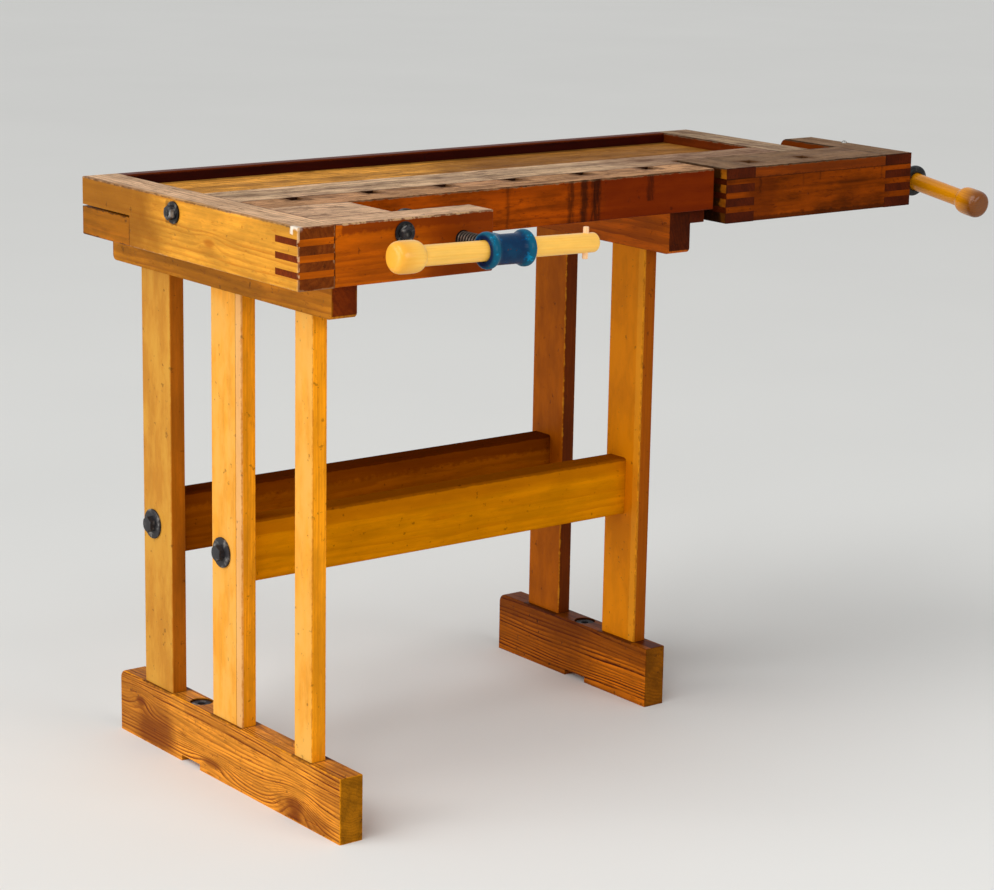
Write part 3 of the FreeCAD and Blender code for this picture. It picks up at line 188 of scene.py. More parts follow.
    # Bare wood and painted highlight: this colour marks rubbed arrises and chips, and is also painted as
    # light caught by the left middle post's front arris.
    scuff_and_highlight: tint("Scuffs", "Bare wood on rubbed arrises", 214, 170, 122)
    chip: tint("Chips", "Raw wood where a corner has chipped", 236, 222, 204)
    handle: tint("Front handle", "Clear-varnished ash", 251, 194, 85)
    handle_streak: tint("Front handle streaks", "Grain of the front handle", 240, 166, 44)
    pin: tint("Cross pins", "Bare wood of the handles' cross pins", 250, 206, 160)
    tail_handle: tint("Tail handle", "Orange-varnished ash", 217, 139, 5)
    tail_handle_streak: tint("Tail handle streaks", "Grain of the tail handle", 150, 74, 2)


class MetalTints(bpy.types.PropertyGroup):
    """Colours of the castings and fasteners."""

    enamel: tint("Blue enamel", "Enamel of the front hub", 0, 48, 106)
    # Painted highlight and wear: this lighter enamel is painted on the flanges as the light they catch,
    # and in rubbed patches.
    enamel_wear_and_sheen: tint("Worn enamel", "Lighter enamel where it is rubbed", 0, 146, 186)
    casting: tint("Black casting", "Black paint of the tail hub, nuts and plates", 13, 12, 13)
    blackened: tint("Blackened steel", "Bolts, washers and nuts", 42, 40, 42)
    steel: tint("Dark steel", "Oily vise screws, pins and collar", 96, 84, 74)
    zinc: tint("Zinc", "Wood screws and the feet's washers", 150, 146, 140)
    rust: tint("Rust", "Rust in the corners", 84, 42, 20)


class TurningSizes(bpy.types.PropertyGroup):
    """Sizes of the turned and threaded pieces."""

    knob: size("Knob", "Knob's diameter", 44)
    knob_length: size("Knob length", "Knob along the handle", 46)
    rod: size("Rod", "Handle's diameter", 28)
    rod_length: size("Rod length", "Handle beyond its knob", 290)
    show: size("Shown rod", "Rod between knob and hub", 100)
    thread: size("Vise thread", "Vise screw over the thread", 24)
    pitch: size("Vise pitch", "Vise screw's travel in one turn", 6)
    thread_depth: size("Thread depth", "Depth of the vise screw's thread", 2.2)
    hub: size("Hub", "Hub along the handle", 73)
    flange: size("Hub flange", "Diameter of a hub's flanges", 50)
    flange_width: size("Hub flange width", "Width of a hub's flanges", 14)
    neck: size("Hub neck", "Hub between its flanges", 41)
    boss: size("Hub boss", "Boss on the screw side of a hub", 36)
    front_tilt: FloatProperty(
        name="Front handle tilt", description="How far the front handle's free end points down",
        subtype="ANGLE", default=math.radians(1.2),
    )
    tail_tilt: FloatProperty(
        name="Tail handle tilt", description="How far the tail handle's knob points down",
        subtype="ANGLE", default=math.radians(8.5),
    )


class StageSettings(bpy.types.PropertyGroup):
    """Floor, lamps and camera."""

    floor: tint("Floor", "Pale floor", 236, 235, 229)
    floor_seen: tint("Floor seen", "Pale floor as the camera sees it", 231, 231, 228)
    backdrop: tint("Backdrop", "Pale backdrop seen behind the floor", 214, 220, 226)
    sun: FloatProperty(name="Sky light", description="Strength of the soft sun", default=1.5, min=0)
    window: FloatProperty(name="Window", description="Power of the panel on the left", default=120, min=0)
    front: FloatProperty(name="Front light", description="Power of the panel in front", default=86, min=0)
    spark: FloatProperty(
        name="Spark", description="Power of the small lamp for highlights", default=24, min=0
    )
    fill: FloatProperty(name="Fill light", description="Strength of the even light", default=0.36, min=0)
    place: FloatVectorProperty(
        name="Camera place", description="Where the camera stands", subtype="TRANSLATION", size=3,
        unit="LENGTH", default=(-2.61611, -3.17505, 1.40055),
    )
    heading: FloatProperty(
        name="Heading", description="From straight back towards the right", subtype="ANGLE",
        default=math.radians(37.69),
    )
    dip: FloatProperty(
        name="Dip", description="Below the horizon", subtype="ANGLE", default=math.radians(13.29)
    )
    lean: FloatProperty(
        name="Lean", description="Roll of the camera", subtype="ANGLE", default=math.radians(1.06)
    )
    lens: FloatProperty(
        name="Lens", description="Focal length on a 36 mm wide sensor", unit="CAMERA", default=100.345
    )


# ---------------------------------------------------------------------------------------------------------
# Shader expressions
# ---------------------------------------------------------------------------------------------------------

class Value:
    """A number in a node tree; arithmetic on it adds Math nodes."""

    def __init__(self, finish, socket):
        self.finish = finish
        self.socket = socket

    def math(self, operation, *others):
        inputs = dict(enumerate((self, *others)))
        return Value(self.finish, self.finish.node("ShaderNodeMath", {"operation": operation}, inputs))

    def __add__(self, other):
        return self.math("ADD", other)

    def __mul__(self, other):
        return self.math("MULTIPLY", other)

    def __sub__(self, other):
        return self.math("SUBTRACT", other)

    def __truediv__(self, other):
        return self.math("DIVIDE", other)

    def __pow__(self, other):
        return self.math("POWER", other)

    def __rsub__(self, other):
        return (self * -1) + other

    def __abs__(self):
        return self.math("ABSOLUTE")

    __radd__ = __add__
    __rmul__ = __mul__

    def least(self, other):
        return self.math("MINIMUM", other)

    def most(self, other):
        return self.math("MAXIMUM", other)

    def step(self, low, high):
        """0 below low, 1 above high and a soft rise between them."""
        inputs = {"Value": self, "From Min": low, "From Max": high}
        kind = {"interpolation_type": "SMOOTHSTEP"}
        return Value(self.finish, self.finish.node("ShaderNodeMapRange", kind, inputs))

    def within(self, low, high, soft):
        """1 between low and high, falling to 0 over a soft margin outside."""
        return self.step(low - soft, low) * (1 - self.step(high, high + soft))


class Finish:
    """A material whose colour, roughness and relief are built up in layers."""

    def __init__(self, name, colour, roughness=0.5, metallic=0.0, seed=0):
        self.material = bpy.data.materials.new(name)
        self.material.use_nodes = True
        self.tree = self.material.node_tree
        self.tree.nodes.clear()
        self.surface = self.tree.nodes.new("ShaderNodeBsdfPrincipled")
        self.surface.inputs["Metallic"].default_value = metallic
        output = self.tree.nodes.new("ShaderNodeOutputMaterial")
        self.tree.links.new(self.surface.outputs[0], output.inputs["Surface"])
        self.colour = tuple(colour)
        self.roughness = roughness
        self.relief = None
        spot = self.node("ShaderNodeTexCoord", output="Object")
        self.spot = self.node("ShaderNodeVectorMath", {"operation": "SCALE"}, {0: spot, "Scale": 1 / MM})
        self.seed = Vector((37.0, 19.0, 53.0)) * seed

    def node(self, kind, settings=None, inputs=None, output=0):
        """Adds a node, makes its settings and then fills its sockets with values or links."""
        made = self.tree.nodes.new(kind)
        for name, setting in (settings or {}).items():
            setattr(made, name, setting)
        for name, given in (inputs or {}).items():
            given = given.socket if isinstance(given, Value) else given
            if isinstance(given, bpy.types.NodeSocket):
                self.tree.links.new(given, made.inputs[name])
            else:
                socket = made.inputs[name]
                wide = hasattr(given, "__len__") and len(given) == 3 and socket.type == "RGBA"
                socket.default_value = (*given, 1.0) if wide else given
        return made.outputs[output]

    def axes(self, spot=None):
        """The three coordinates of a spot, in millimetres."""
        spot = self.spot if spot is None else spot
        parts = self.node("ShaderNodeSeparateXYZ", None, {0: spot}).node
        return {axis: Value(self, parts.outputs[i]) for i, axis in enumerate("xyz")}

    def vector(self, x, y, z):
        return self.node("ShaderNodeCombineXYZ", None, {0: x, 1: y, 2: z})

    def noise(self, spot, grain_size, detail=2.0, roughness=0.5, twist=0.0):
        """Soft noise from 0 to 1 whose blots are about grain_size millimetres wide."""
        moved = self.node("ShaderNodeVectorMath", {"operation": "ADD"}, {0: spot, 1: self.seed})
        inputs = {
            "Vector": moved, "Scale": 1 / grain_size, "Detail": detail, "Roughness": roughness,
            "Distortion": twist,
        }
        return Value(self, self.node("ShaderNodeTexNoise", None, inputs))

    def random(self, number):
        """A fixed random number from 0 to 1 for each whole number."""
        kind = {"noise_dimensions": "1D"}
        return Value(self, self.node("ShaderNodeTexWhiteNoise", kind, {"W": number}))

    def layer(self, mask, colour, roughness=None, blend="MIX"):
        """Lays a colour, and a roughness if it is given, where the mask is 1."""
        kind = {"data_type": "RGBA", "blend_type": blend, "clamp_factor": True}
        self.colour = self.node("ShaderNodeMix", kind, {0: mask, 6: self.colour, 7: colour}, 2)
        if roughness is not None:
            self.roughness = (roughness - self.roughness) * mask + self.roughness

    def shade(self, factor):
        """Makes the colour lighter or darker by a factor."""
        kind = {"operation": "SCALE"}
        self.colour = self.node("ShaderNodeVectorMath", kind, {0: self.colour, "Scale": factor})

    def raise_by(self, height):
        """Adds to the relief, in millimetres."""
        self.relief = height if self.relief is None else self.relief + height

    def done(self, **constants):
        """Links the layers to the surface, and returns the material."""
        for name, value in constants.items():
            self.surface.inputs[name.replace("_", " ")].default_value = value
        layers = {"Base Color": self.colour, "Roughness": self.roughness}
        if self.relief is not None:
            inputs = {"Height": self.relief, "Distance": MM, "Strength": 1.0}
            layers["Normal"] = self.node("ShaderNodeBump", None, inputs)
        for name, given in layers.items():
            given = given.socket if isinstance(given, Value) else given
            if isinstance(given, bpy.types.NodeSocket):
                self.tree.links.new(given, self.surface.inputs[name])
            else:
                wide = name == "Base Color"
                self.surface.inputs[name].default_value = (*given, 1.0) if wide else given
        return self.material


# ---------------------------------------------------------------------------------------------------------
# Wood
# ---------------------------------------------------------------------------------------------------------

def timber(
    finish, spot, grain, centre, streak, heart, ring, wander, contrast, fibre, lift=0.0, clouds=1.0
):
    """Growth rings about a heart beside the board, drawn out along the grain, with fibres and flecks.

    A spot's ring is its distance from the heart's line, bent by slow noise and lifted round knots, divided
    by the ring's width; its colour goes from early to late wood over each ring and drops back at its edge.
    """
    axes = finish.axes(spot)
    along = axes[grain]
    across = [axes[axis] - middle for axis, middle in zip("xyz", centre) if axis != grain]
    drawn = finish.vector(along * 0.09, across[0], across[1])
    bend = (finish.noise(drawn, 60, 2, 0.45) - 0.5) * (2 * wander) + lift
    first = across[0] - heart[0]
    second = across[1] - heart[1]
    rings = ((first * first + second * second) ** 0.5 + bend) / ring
    rings = rings + (finish.noise(drawn, 7, 2) - 0.5) * 0.6
    late = rings.math("FRACT").step(0.2, 0.86) * (1 - rings.math("FRACT").step(0.9, 1.0))
    blot = finish.noise(finish.vector(along * 0.35, across[0], across[1]), 34, 4, 0.65)
    figure = late * (finish.random(rings.math("FLOOR")) * 0.75 + 0.25) * (blot.step(0.3, 0.62) * 0.8 + 0.3)
    finish.layer(figure * contrast, streak)
    hair = finish.noise(finish.vector(along * 0.03, across[0], across[1]), 1.5, 3, 0.6)
    band = finish.noise(finish.vector(along * 0.05, across[0], across[1]), 9, 2)
    fleck = finish.noise(finish.vector(along * 0.2, across[0], across[1]), 4, 3, 0.65)
    mottle = (blot.step(*BLOTCHY) - 0.5) * 0.4 + (band.step(0.3, 0.7) - 0.5) * 0.26
    finish.shade((hair - 0.5) * fibre + mottle * clouds + 1)
    finish.layer(hair.step(0.56, 0.72) * fibre, streak)
    finish.layer(fleck.step(0.58, 0.7) * (0.42 * clouds), streak)
    finish.raise_by(figure * 0.05 + hair * 0.09)
    return figure, hair, blot


class Look:
    """How one board is figured, coloured and worn.

    Shifts and marks are (softness, colour, strength, ranges), laid under and over the wear; knots are
    (along, across, reach along, reach across, lift); runs are (along, width, low, high, strength); bared
    ranges are rubbed to bare wood in spots. Laps are the width of a top's glued strips, rim is how far in
    from the lowest x a top is worn less, clouds scales the cloudiness and shine is the specular level.
    Side
    is painted light: a paler colour laid on the face at the lowest x, as if lit by the window.
    """

    def __init__(self, grain, tone, streak, **changes):
        self.grain, self.tone, self.streak = grain, tone, streak
        self.heart, self.ring, self.wander, self.contrast, self.fibre = (60, 25), 6, 16, 0.5, 0.4
        self.gloss, self.shine, self.seed, self.clouds = 0.42, 0.04, 0, 1.0
        self.side = self.top = self.end = None
        self.top_streak, self.dirt, self.seam = finish_tints().worn_streak, 0.5, 0.7
        self.rim, self.laps = 0, None
        self.rub, self.rub_tone, self.scars = 0.4, streak, 0.6
        self.shifts, self.marks, self.knots, self.runs, self.bared = (), (), (), (), ()
        for name, value in changes.items():
            if not hasattr(self, name):
                raise AttributeError(name)
            setattr(self, name, value)


class Board:
    """The finish of one board, with its places counted in millimetres from the board's lowest corner."""

    def __init__(self, node, look):
        low, high = (np.array(corner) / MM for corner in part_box(node))
        self.look = look
        self.size = dict(zip("xyz", high - low))
        self.finish = Finish(node, look.tone, look.gloss, seed=look.seed)
        axes = self.finish.axes()
        self.place = {axis: axes[axis] - float(low[i]) for i, axis in enumerate("xyz")}
        swirls = [self.swirl(*knot[:4]) for knot in look.knots]
        lift = sum((swirl * knot[4] for swirl, knot in zip(swirls, look.knots)), 0.0)
        self.figure, self.hair, self.blot = timber(
            self.finish, self.finish.spot, look.grain, (low + high) / 2, look.streak, look.heart,
            look.ring, look.wander, look.contrast, look.fibre, lift, look.clouds,
        )
        for swirl in swirls:
            self.finish.layer(swirl.step(0.7, 0.97) * 0.75, look.streak)
        self.speck = self.finish.noise(self.finish.spot, 9, 3, 0.6)
        self.smear = self.finish.noise(self.finish.spot, 70, 4, 0.6)

    def swirl(self, along, across, reach, rise):
        """1 at a knot, falling off as exp(-distance^2), with the distance counted in its two reaches."""
        first = (self.place[self.look.grain] - along) / reach
        second = (self.place["y" if self.look.grain == "z" else "z"] - across) / rise
        return ((first * first + second * second) * -1).math("EXPONENT")

    def depth(self, axis):
        """Distance from the nearer of the two sides that an axis crosses."""
        return self.place[axis].least(self.size[axis] - self.place[axis])

    def arris(self):
        """Distance from the nearest arris: the second smallest distance from the pairs of sides."""
        x, y, z = (self.depth(axis) for axis in "xyz")
        return x.least(y).most(x.most(y).least(z))

    def mask(self, soft, ranges):
        """1 inside a range on each named axis; narrow margins waver in specks and wide ones slowly."""
        whole = None
        narrow = soft < WIDE_MARGIN
        shake = (self.speck - 0.5) * (soft * 2.4) if narrow else (self.smear - 0.5) * soft
        for axis, (start, stop) in ranges.items():
            wobble = self.place[axis] + shake
            span = wobble.within(start, stop, soft)
            whole = span if whole is None else whole * span
        return whole

    def paint_window_light(self):
        """Painted light: the side at the lowest x, which stands to the window, is painted paler in
        patches.
        """
        near = 1 - self.place["x"].step(0.3, 1.6)
        patchy = min(0.8 * self.look.clouds, 0.8)
        self.finish.layer(near * (self.blot.step(*BLOTCHY) * patchy + (1 - patchy)), self.look.side)

    def wear_top(self):
        """The working surface is bare and grey, with scratches, dirt in the grain and dark patches."""
        look, finish, place = self.look, self.finish, self.place
        grime_and_shade = finish_tints().grime_and_shade
        edge = place["z"] + (self.speck - 0.5) * 5
        above = edge.step(self.size["z"] - 2.9, self.size["z"] - 0.9)
        bare = above
        if look.rim:
            wavering = place["x"] + (self.smear - 0.5) * (look.rim * 3)
            bare = above * (wavering.step(0, look.rim) * 0.8 + 0.2)
        finish.layer(bare * (self.smear.step(0.2, 0.5) * 0.25 + 0.7), look.top, 0.62)
        finish.shade((self.blot.step(0.3, 0.7) - 0.5) * above * 0.5 + 1)
        streak = look.top_streak
        finish.layer(above * self.hair.step(0.48, 0.66) * (0.25 + look.dirt * 0.8), streak)
        finish.layer(above * self.figure * 0.5, streak)
        first, second = ("x", "y") if look.grain == "x" else ("y", "x")
        patch = finish.noise(finish.vector(place[first] * 0.4, place[second], place["z"]), 26, 4, 0.62)
        finish.layer(above * patch.step(0.5, 0.64) * look.dirt, streak)
        scratch = finish.noise(finish.vector(place[first] * 0.12, place[second] * 1.3, 0), 4, 4, 0.7)
        finish.layer(above * scratch.step(0.56, 0.62) * (0.35 + look.dirt * 0.7), streak)
        slashed = finish.vector(place["x"] + place["y"] * 0.6, place["y"] * 0.16, place["z"])
        slash = finish.noise(slashed, 6, 3, 0.6)
        finish.layer(above * slash.step(0.63, 0.67) * 0.7, grime_and_shade)
        if look.laps is not None:
            lap = place["y"] / look.laps
            finish.shade((finish.random(lap.math("FLOOR")) - 0.5) * above * 0.3 + 1)
            line = 1 - (lap.math("FRACT") * look.laps + self.speck).step(0.9, 1.7)
            finish.layer(above * line * 0.75, grime_and_shade)
        seam = 1 - (self.depth("x").least(self.depth("y")) + (self.speck - 0.5) * 2).step(0.6, 1.8)
        finish.layer(above * seam * look.seam, grime_and_shade)
        finish.raise_by((scratch.step(0.57, 0.66) * -0.3 + slash.step(0.62, 0.7) * -0.4) * above)

    def darken_ends(self):
        """End grain drinks more oil."""
        mask = 1 - self.depth(self.look.grain).step(0.4, 1.3)
        self.finish.layer(mask * 0.94, self.look.end, 0.6)
        self.finish.layer(mask * self.figure * 0.2, finish_tints().grime_and_shade)
        pores = self.finish.noise(self.finish.spot, 1.6, 2)
        self.finish.layer(mask * pores.step(0.5, 0.75) * 0.3, finish_tints().grime_and_shade)
        self.finish.shade((self.blot.step(*BLOTCHY) - 0.5) * mask * 0.5 + 1)
        self.finish.raise_by(mask * pores * 0.12)

    def rub_arrises(self):
        """Arrises are darkened by hands or rubbed bare, here and there."""
        near = 1 - (self.arris() + (self.speck - 0.5) * 9).step(0.2, 2)
        self.finish.layer(near * self.look.rub, self.look.rub_tone)

    def run_down(self):
        """Dark runs of oil down the front."""
        place = self.place
        drip = self.finish.noise(self.finish.vector(place["x"], place["y"], place["z"] * 0.2), 7, 4, 0.65)
        for along, width, low, high, strength in self.look.runs:
            spread = (width / 2 + 3 - abs(place["x"] + (self.speck - 0.5) * 10 - along)).step(0, 6)
            span = place["z"].within(low, high, 3) * (1 - place["y"].step(1, 3))
            self.finish.layer(spread * span * drip.step(0.22, 0.58) * strength, finish_tints().grime_and_shade)

    def dent(self):
        """Small dents filled with dirt, and an uneven gloss."""
        finish = self.finish
        pit = finish.noise(finish.spot, 11, 4, 0.6).step(0.64, 0.7)
        finish.layer(pit * 0.7 * self.look.scars, finish_tints().grime_and_shade)
        finish.raise_by(pit * -0.4 * self.look.scars + self.speck * 0.15)
        finish.roughness = (self.smear - 0.5) * 0.24 + finish.roughness

    def done(self):
        look = self.look
        # Painted light on the face at the lowest x
        if look.side is not None:
            self.paint_window_light()
        for soft, colour, strength, ranges in look.shifts:
            self.finish.layer(self.mask(soft, ranges) * strength, colour)
        if look.top is not None:
            self.wear_top()
        if look.end is not None:
            self.darken_ends()
        self.rub_arrises()
        self.run_down()
        self.dent()
        for soft, colour, strength, ranges in look.marks:
            self.finish.layer(self.mask(soft, ranges) * strength, colour)
        for ranges in look.bared:
            chips = self.mask(0.8, ranges) * self.speck.step(0.46, 0.6)
            self.finish.layer(chips * 0.75, finish_tints().scuff_and_highlight)
        return self.finish.done(Specular_IOR_Level=look.shine)


def finish_tints():
    """The colours of the woods, as they are set in the panel."""
    return bpy.context.scene.bench_woods


# ---------------------------------------------------------------------------------------------------------
# Metals
# ---------------------------------------------------------------------------------------------------------

def enamel_finish():
    """Thick glossy enamel over a rough casting, painted lighter on the flanges as highlights, lighter in
    rubbed patches and chipped in places.
    """
    tints, sizes = bpy.context.scene.bench_metals, bpy.context.scene.bench_turnings
    finish = Finish("blue_enamel", tints.enamel, 0.2, seed=3)
    fine = finish.noise(finish.spot, 4, 4, 0.6)
    broad = finish.noise(finish.spot, 20, 3, 0.5)
    finish.shade((broad - 0.5) * 0.6 + 0.95)
    _, y, z = front_axis().start / MM
    axes = finish.axes()
    away = ((axes["y"] - float(y)) ** 2.0 + (axes["z"] - float(z)) ** 2.0) ** 0.5
    # Painted highlight: the flanges, out from the neck, are painted lighter, as if catching the light.
    finish.layer(away.step(sizes.neck / 2 / MM - 1.5, sizes.flange / 2 / MM) * 0.75, tints.enamel_wear_and_sheen)
    finish.layer(broad.step(0.52, 0.7) * 0.15, tints.enamel_wear_and_sheen)
    finish.layer((fine + broad).step(0.74, 0.9) * 0.6, tints.casting, 0.35)
    chip = (fine + (broad - 0.5) * 0.6).step(0.72, 0.75)
    finish.layer(chip, tints.rust, 0.75)
    finish.raise_by(finish.noise(finish.spot, 3.5, 2) * 0.3 + chip * -0.18)
    return finish.done(Specular_IOR_Level=0.05, Coat_Weight=0.1, Coat_Roughness=0.08)


def black_finish(name, colour, roughness, rub, seed):
    """Black paint or scale on iron, rubbed grey where it is handled and rusty in the hollows."""
    tints = bpy.context.scene.bench_metals
    finish = Finish(name, colour, roughness, seed=seed)
    fine = finish.noise(finish.spot, 3, 4, 0.6)
    broad = finish.noise(finish.spot, 14, 3, 0.55)
    finish.shade((broad - 0.5) * 0.9 + 1)
    finish.layer(broad.step(0.52, 0.72) * rub, tints.zinc, roughness * 0.8)
    finish.layer(fine.step(0.64, 0.72) * 0.45, tints.rust, 0.8)
    finish.raise_by(fine * 0.12)
    return finish.done(Specular_IOR_Level=0.22)


def steel_finish(name, colour, roughness, rust, seed, thread=None):
    """Turned steel with fine scratches, oil stains and a little rust.

    A thread is its axis, the screw's centre and the radius under which oil and dirt fill the grooves.
    """
    tints = bpy.context.scene.bench_metals
    finish = Finish(name, colour, roughness, 1.0, seed)
    fine = finish.noise(finish.spot, 1.2, 3, 0.6)
    broad = finish.noise(finish.spot, 11, 3, 0.6)
    finish.shade((broad - 0.5) * 0.6 + (fine - 0.5) * 0.3 + 0.9)
    finish.layer(broad.step(0.5, 0.68) * rust, tints.rust, 0.7)
    if thread is not None:
        along, centre, radius = thread
        axes = finish.axes()
        sides = [axes[axis] - float(at) / MM for axis, at in zip("xyz", centre) if axis != along]
        away = (sides[0] * sides[0] + sides[1] * sides[1]) ** 0.5
        finish.layer(1 - away.step(radius - 1.9, radius - 0.4), tints.casting, 0.55)
    finish.raise_by(fine * 0.03)
    return finish.done()


def handle_finish(name, turn, centre, tone, streak, seed, gloss, dark_end=None):
    """Turned ash: fine grain along the handle, varnished, with handling marks and a darker knob's end."""
    finish = Finish(name, tone, gloss, seed=seed)
    moved = finish.node("ShaderNodeVectorMath", {"operation": "SUBTRACT"}, {0: finish.spot, 1: centre})
    turned = finish.node("ShaderNodeMapping", {"vector_type": "TEXTURE"}, {0: moved, "Rotation": turn})
    timber(finish, turned, "x", (0, 0, 0), streak, (11, 38), 3.6, 7, 0.35, 0.2, clouds=0.3)
    wear = finish.noise(finish.spot, 22, 4, 0.6)
    finish.layer(wear.step(0.6, 0.75) * 0.25, streak)
    if dark_end is not None:
        along = finish.axes(turned)["x"]
        finish.layer((1 - (along + wear * 12).step(8, 44)) * 0.85, dark_end)
    finish.roughness = (wear - 0.5) * 0.2 + finish.roughness
    return finish.done(Specular_IOR_Level=0.1, Coat_Weight=0.5, Coat_Roughness=0.2)


# ---------------------------------------------------------------------------------------------------------
# Surfaces
# ---------------------------------------------------------------------------------------------------------

def eased(corners, ease, closed=False, steps=6):
    """An outline with its corners rounded, in millimetres.

    Each corner C is cut back by its ease along both sides, to A and B, and bridged by the curve
    (1 - t)^2 A + 2 t (1 - t) C + t^2 B.
    """
    corner = np.array(corners, float)
    reach = np.ones(len(corner)) * np.array(ease, float)
    if not closed:
        reach[[0, -1]] = 0
    before = np.roll(corner, 1, 0) - corner
    after = np.roll(corner, -1, 0) - corner
    room_before = np.maximum(np.hypot(*before.T), 1e-9)
    room_after = np.maximum(np.hypot(*after.T), 1e-9)
    start = corner + before * (np.minimum(reach, 0.5 * room_before) / room_before)[:, None]
    stop = corner + after * (np.minimum(reach, 0.5 * room_after) / room_after)[:, None]
    t = np.linspace(0, 1, steps)[None, :, None]
    curve = (1 - t) ** 2 * start[:, None] + 2 * t * (1 - t) * corner[:, None] + t**2 * stop[:, None]
    return curve.reshape(-1, 2)


def grid_quads(rows, columns, closed):
    """Four corners of each cell of a grid that closes round its columns and, if asked, its rows."""
    row, column = np.meshgrid(np.arange(rows if closed else rows - 1), np.arange(columns), indexing="ij")
    right = (column + 1) % columns
    below = (row + 1) % rows
    row, below = row * columns, below * columns
    return np.stack((row + column, row + right, below + right, below + column), -1).reshape(-1, 4)


class Axis:
    """A centre line with a start, in metres, and directions along and across it."""

    def __init__(self, start, along, side):
        self.start = np.array(start, float)
        self.along = np.array(along, float)
        self.side = np.array(side, float)
        self.up = np.cross(self.along, self.side)

    def sweep(self, radius, height, angle, closed=False):
        """Surface about the line, sizes in millimetres.

        A point is start + height * along + radius * (cos(angle) * side + sin(angle) * up).
        """
        radius, height = np.broadcast_arrays(radius, height, np.zeros((1, len(angle))))[:2]
        across = np.cos(angle)[:, None] * self.side + np.sin(angle)[:, None] * self.up
        points = self.start + MM * (height[..., None] * self.along + radius[..., None] * across)
        return points.reshape(-1, 3), grid_quads(*radius.shape, closed)


def turns(columns):
    """Even angles round a whole turn."""
    return np.arange(columns) * (2 * math.pi / columns)


def lathe(axis, outline, columns=48, closed=False):
    """Turns an outline of (radius, height) points about an axis."""
    outline = np.array(outline)
    return axis.sweep(outline[:, :1], outline[:, 1:], turns(columns), closed)


def threaded(axis, outline, start, stop, diameter, pitch, depth, columns=40, rows_a_turn=10):
    """Turns an outline and cuts a thread between two heights.

    The cut's depth is depth * clip(1.5 * w - 0.25, 0, 1), where w goes from 0 to 1 and back along one
    pitch, w = |2 * fraction(height / pitch - angle / whole turn) - 1|; it runs out over half a pitch.
    """
    outline = np.array(outline, float)
    angle = turns(columns)
    rows = np.linspace(start, stop, max(4, int((stop - start) / pitch * rows_a_turn)))
    before = outline[outline[:, 1] < start + 1e-6]
    after = outline[outline[:, 1] > stop - 1e-6]
    plain = np.column_stack((np.full(len(rows), diameter / 2), rows))
    whole = np.concatenate((before, plain, after))
    height = whole[:, 1:]
    wave = np.abs(2 * np.mod(height / pitch - angle[None] / (2 * math.pi), 1) - 1)
    run_out = np.clip((height - start) * 2 / pitch, 0, 1) * np.clip((stop - height) * 2 / pitch, 0, 1)
    radius = whole[:, :1] - depth * run_out * np.clip(1.5 * wave - 0.25, 0, 1)
    return axis.sweep(radius, height, angle)


def hexagon(axis, corners_across, low, high, bore=0.0, columns=72):
    """A nut, or a bolt's head, with its corners turned off at both ends.

    At an angle its side stands flat / cos((angle mod 60 degrees) - 30 degrees) from the axis, and the ends
    slope back by half of what stands out beyond the turned circle.
    """
    angle = turns(columns)
    flat = corners_across / 2 * math.cos(math.pi / 6)
    side = flat / np.cos(np.mod(angle, math.pi / 3) - math.pi / 6)
    circle = np.full_like(side, flat * 0.97)
    drop = (side - circle) * 0.5
    bored = np.full_like(side, bore / 2)
    level = np.zeros_like(side)
    radius = np.stack((bored, circle, side, side, circle, bored))
    height = np.stack((level + low, level + low, low + drop, high - drop, level + high, level + high))
    return axis.sweep(radius, height, angle, closed=bore > 0)


def slotted(axis, surface, radius, level, depth, slope, slot=0.8):
    """Cuts a slot into a screw's head, sizes in millimetres.

    Points within a radius of the axis and above a level sink by
    depth * clip((slot - across) / slope, 0, 1), where across is their distance from the slot's line.
    """
    points, quads = surface
    local = (points - axis.start) / MM
    across = np.abs(local @ axis.side)
    near = np.linalg.norm(np.cross(local, axis.along), axis=1) < radius
    sink = depth * np.clip((slot - across) / slope, 0, 1) * (near & (local @ axis.along < level))
    return points + axis.along * (sink * MM)[:, None], quads


def joined(surfaces):
    """Several surfaces as one set of points and quads."""
    starts = np.cumsum([0] + [len(points) for points, _ in surfaces[:-1]])
    points = np.concatenate([points for points, _ in surfaces])
    quads = np.concatenate([quads + start for (_, quads), start in zip(surfaces, starts)])
    return points, quads


def mesh_of(name, points, quads):
    """A mesh with equal points merged and cells that close to a point made triangles."""
    points, back = np.unique(np.round(points, 7), axis=0, return_inverse=True)
    quads = back.reshape(-1)[quads]
    different = quads != np.roll(quads, 1, axis=1)
    count = different.sum(1)
    kept = count >= 3
    loops = quads[kept][different[kept]]
    starts = np.concatenate(([0], np.cumsum(count[kept])[:-1]))
    mesh = bpy.data.meshes.new(name)
    mesh.vertices.add(len(points))
    mesh.vertices.foreach_set("co", points.astype(np.float32).ravel())
    mesh.loops.add(len(loops))
    mesh.loops.foreach_set("vertex_index", loops.astype(np.int32))
    mesh.polygons.add(len(starts))
    mesh.polygons.foreach_set("loop_start", starts.astype(np.int32))
    mesh.update(calc_edges=True)
    mesh.validate()
    return mesh


def outward(mesh):
    """Turns the faces outwards and shades them smooth up to an angle."""
    work = bmesh.new()
    work.from_mesh(mesh)
    bmesh.ops.recalc_face_normals(work, faces=work.faces)
    work.to_mesh(mesh)
    work.free()
    mesh.shade_smooth()
    mesh.set_sharp_from_angle(angle=math.radians(SHARP_ANGLE))


def piece(name, body, surfaces, material, *nodes):
    """Puts a finished piece in the scene in place of its nodes."""
    made = bpy.data.objects.new(name, mesh_of(name, *joined(surfaces)))
    bpy.context.scene.collection.objects.link(made)
    outward(made.data)
    made.data.materials.append(material)
    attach(made, body)
    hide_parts(*nodes)
    return made


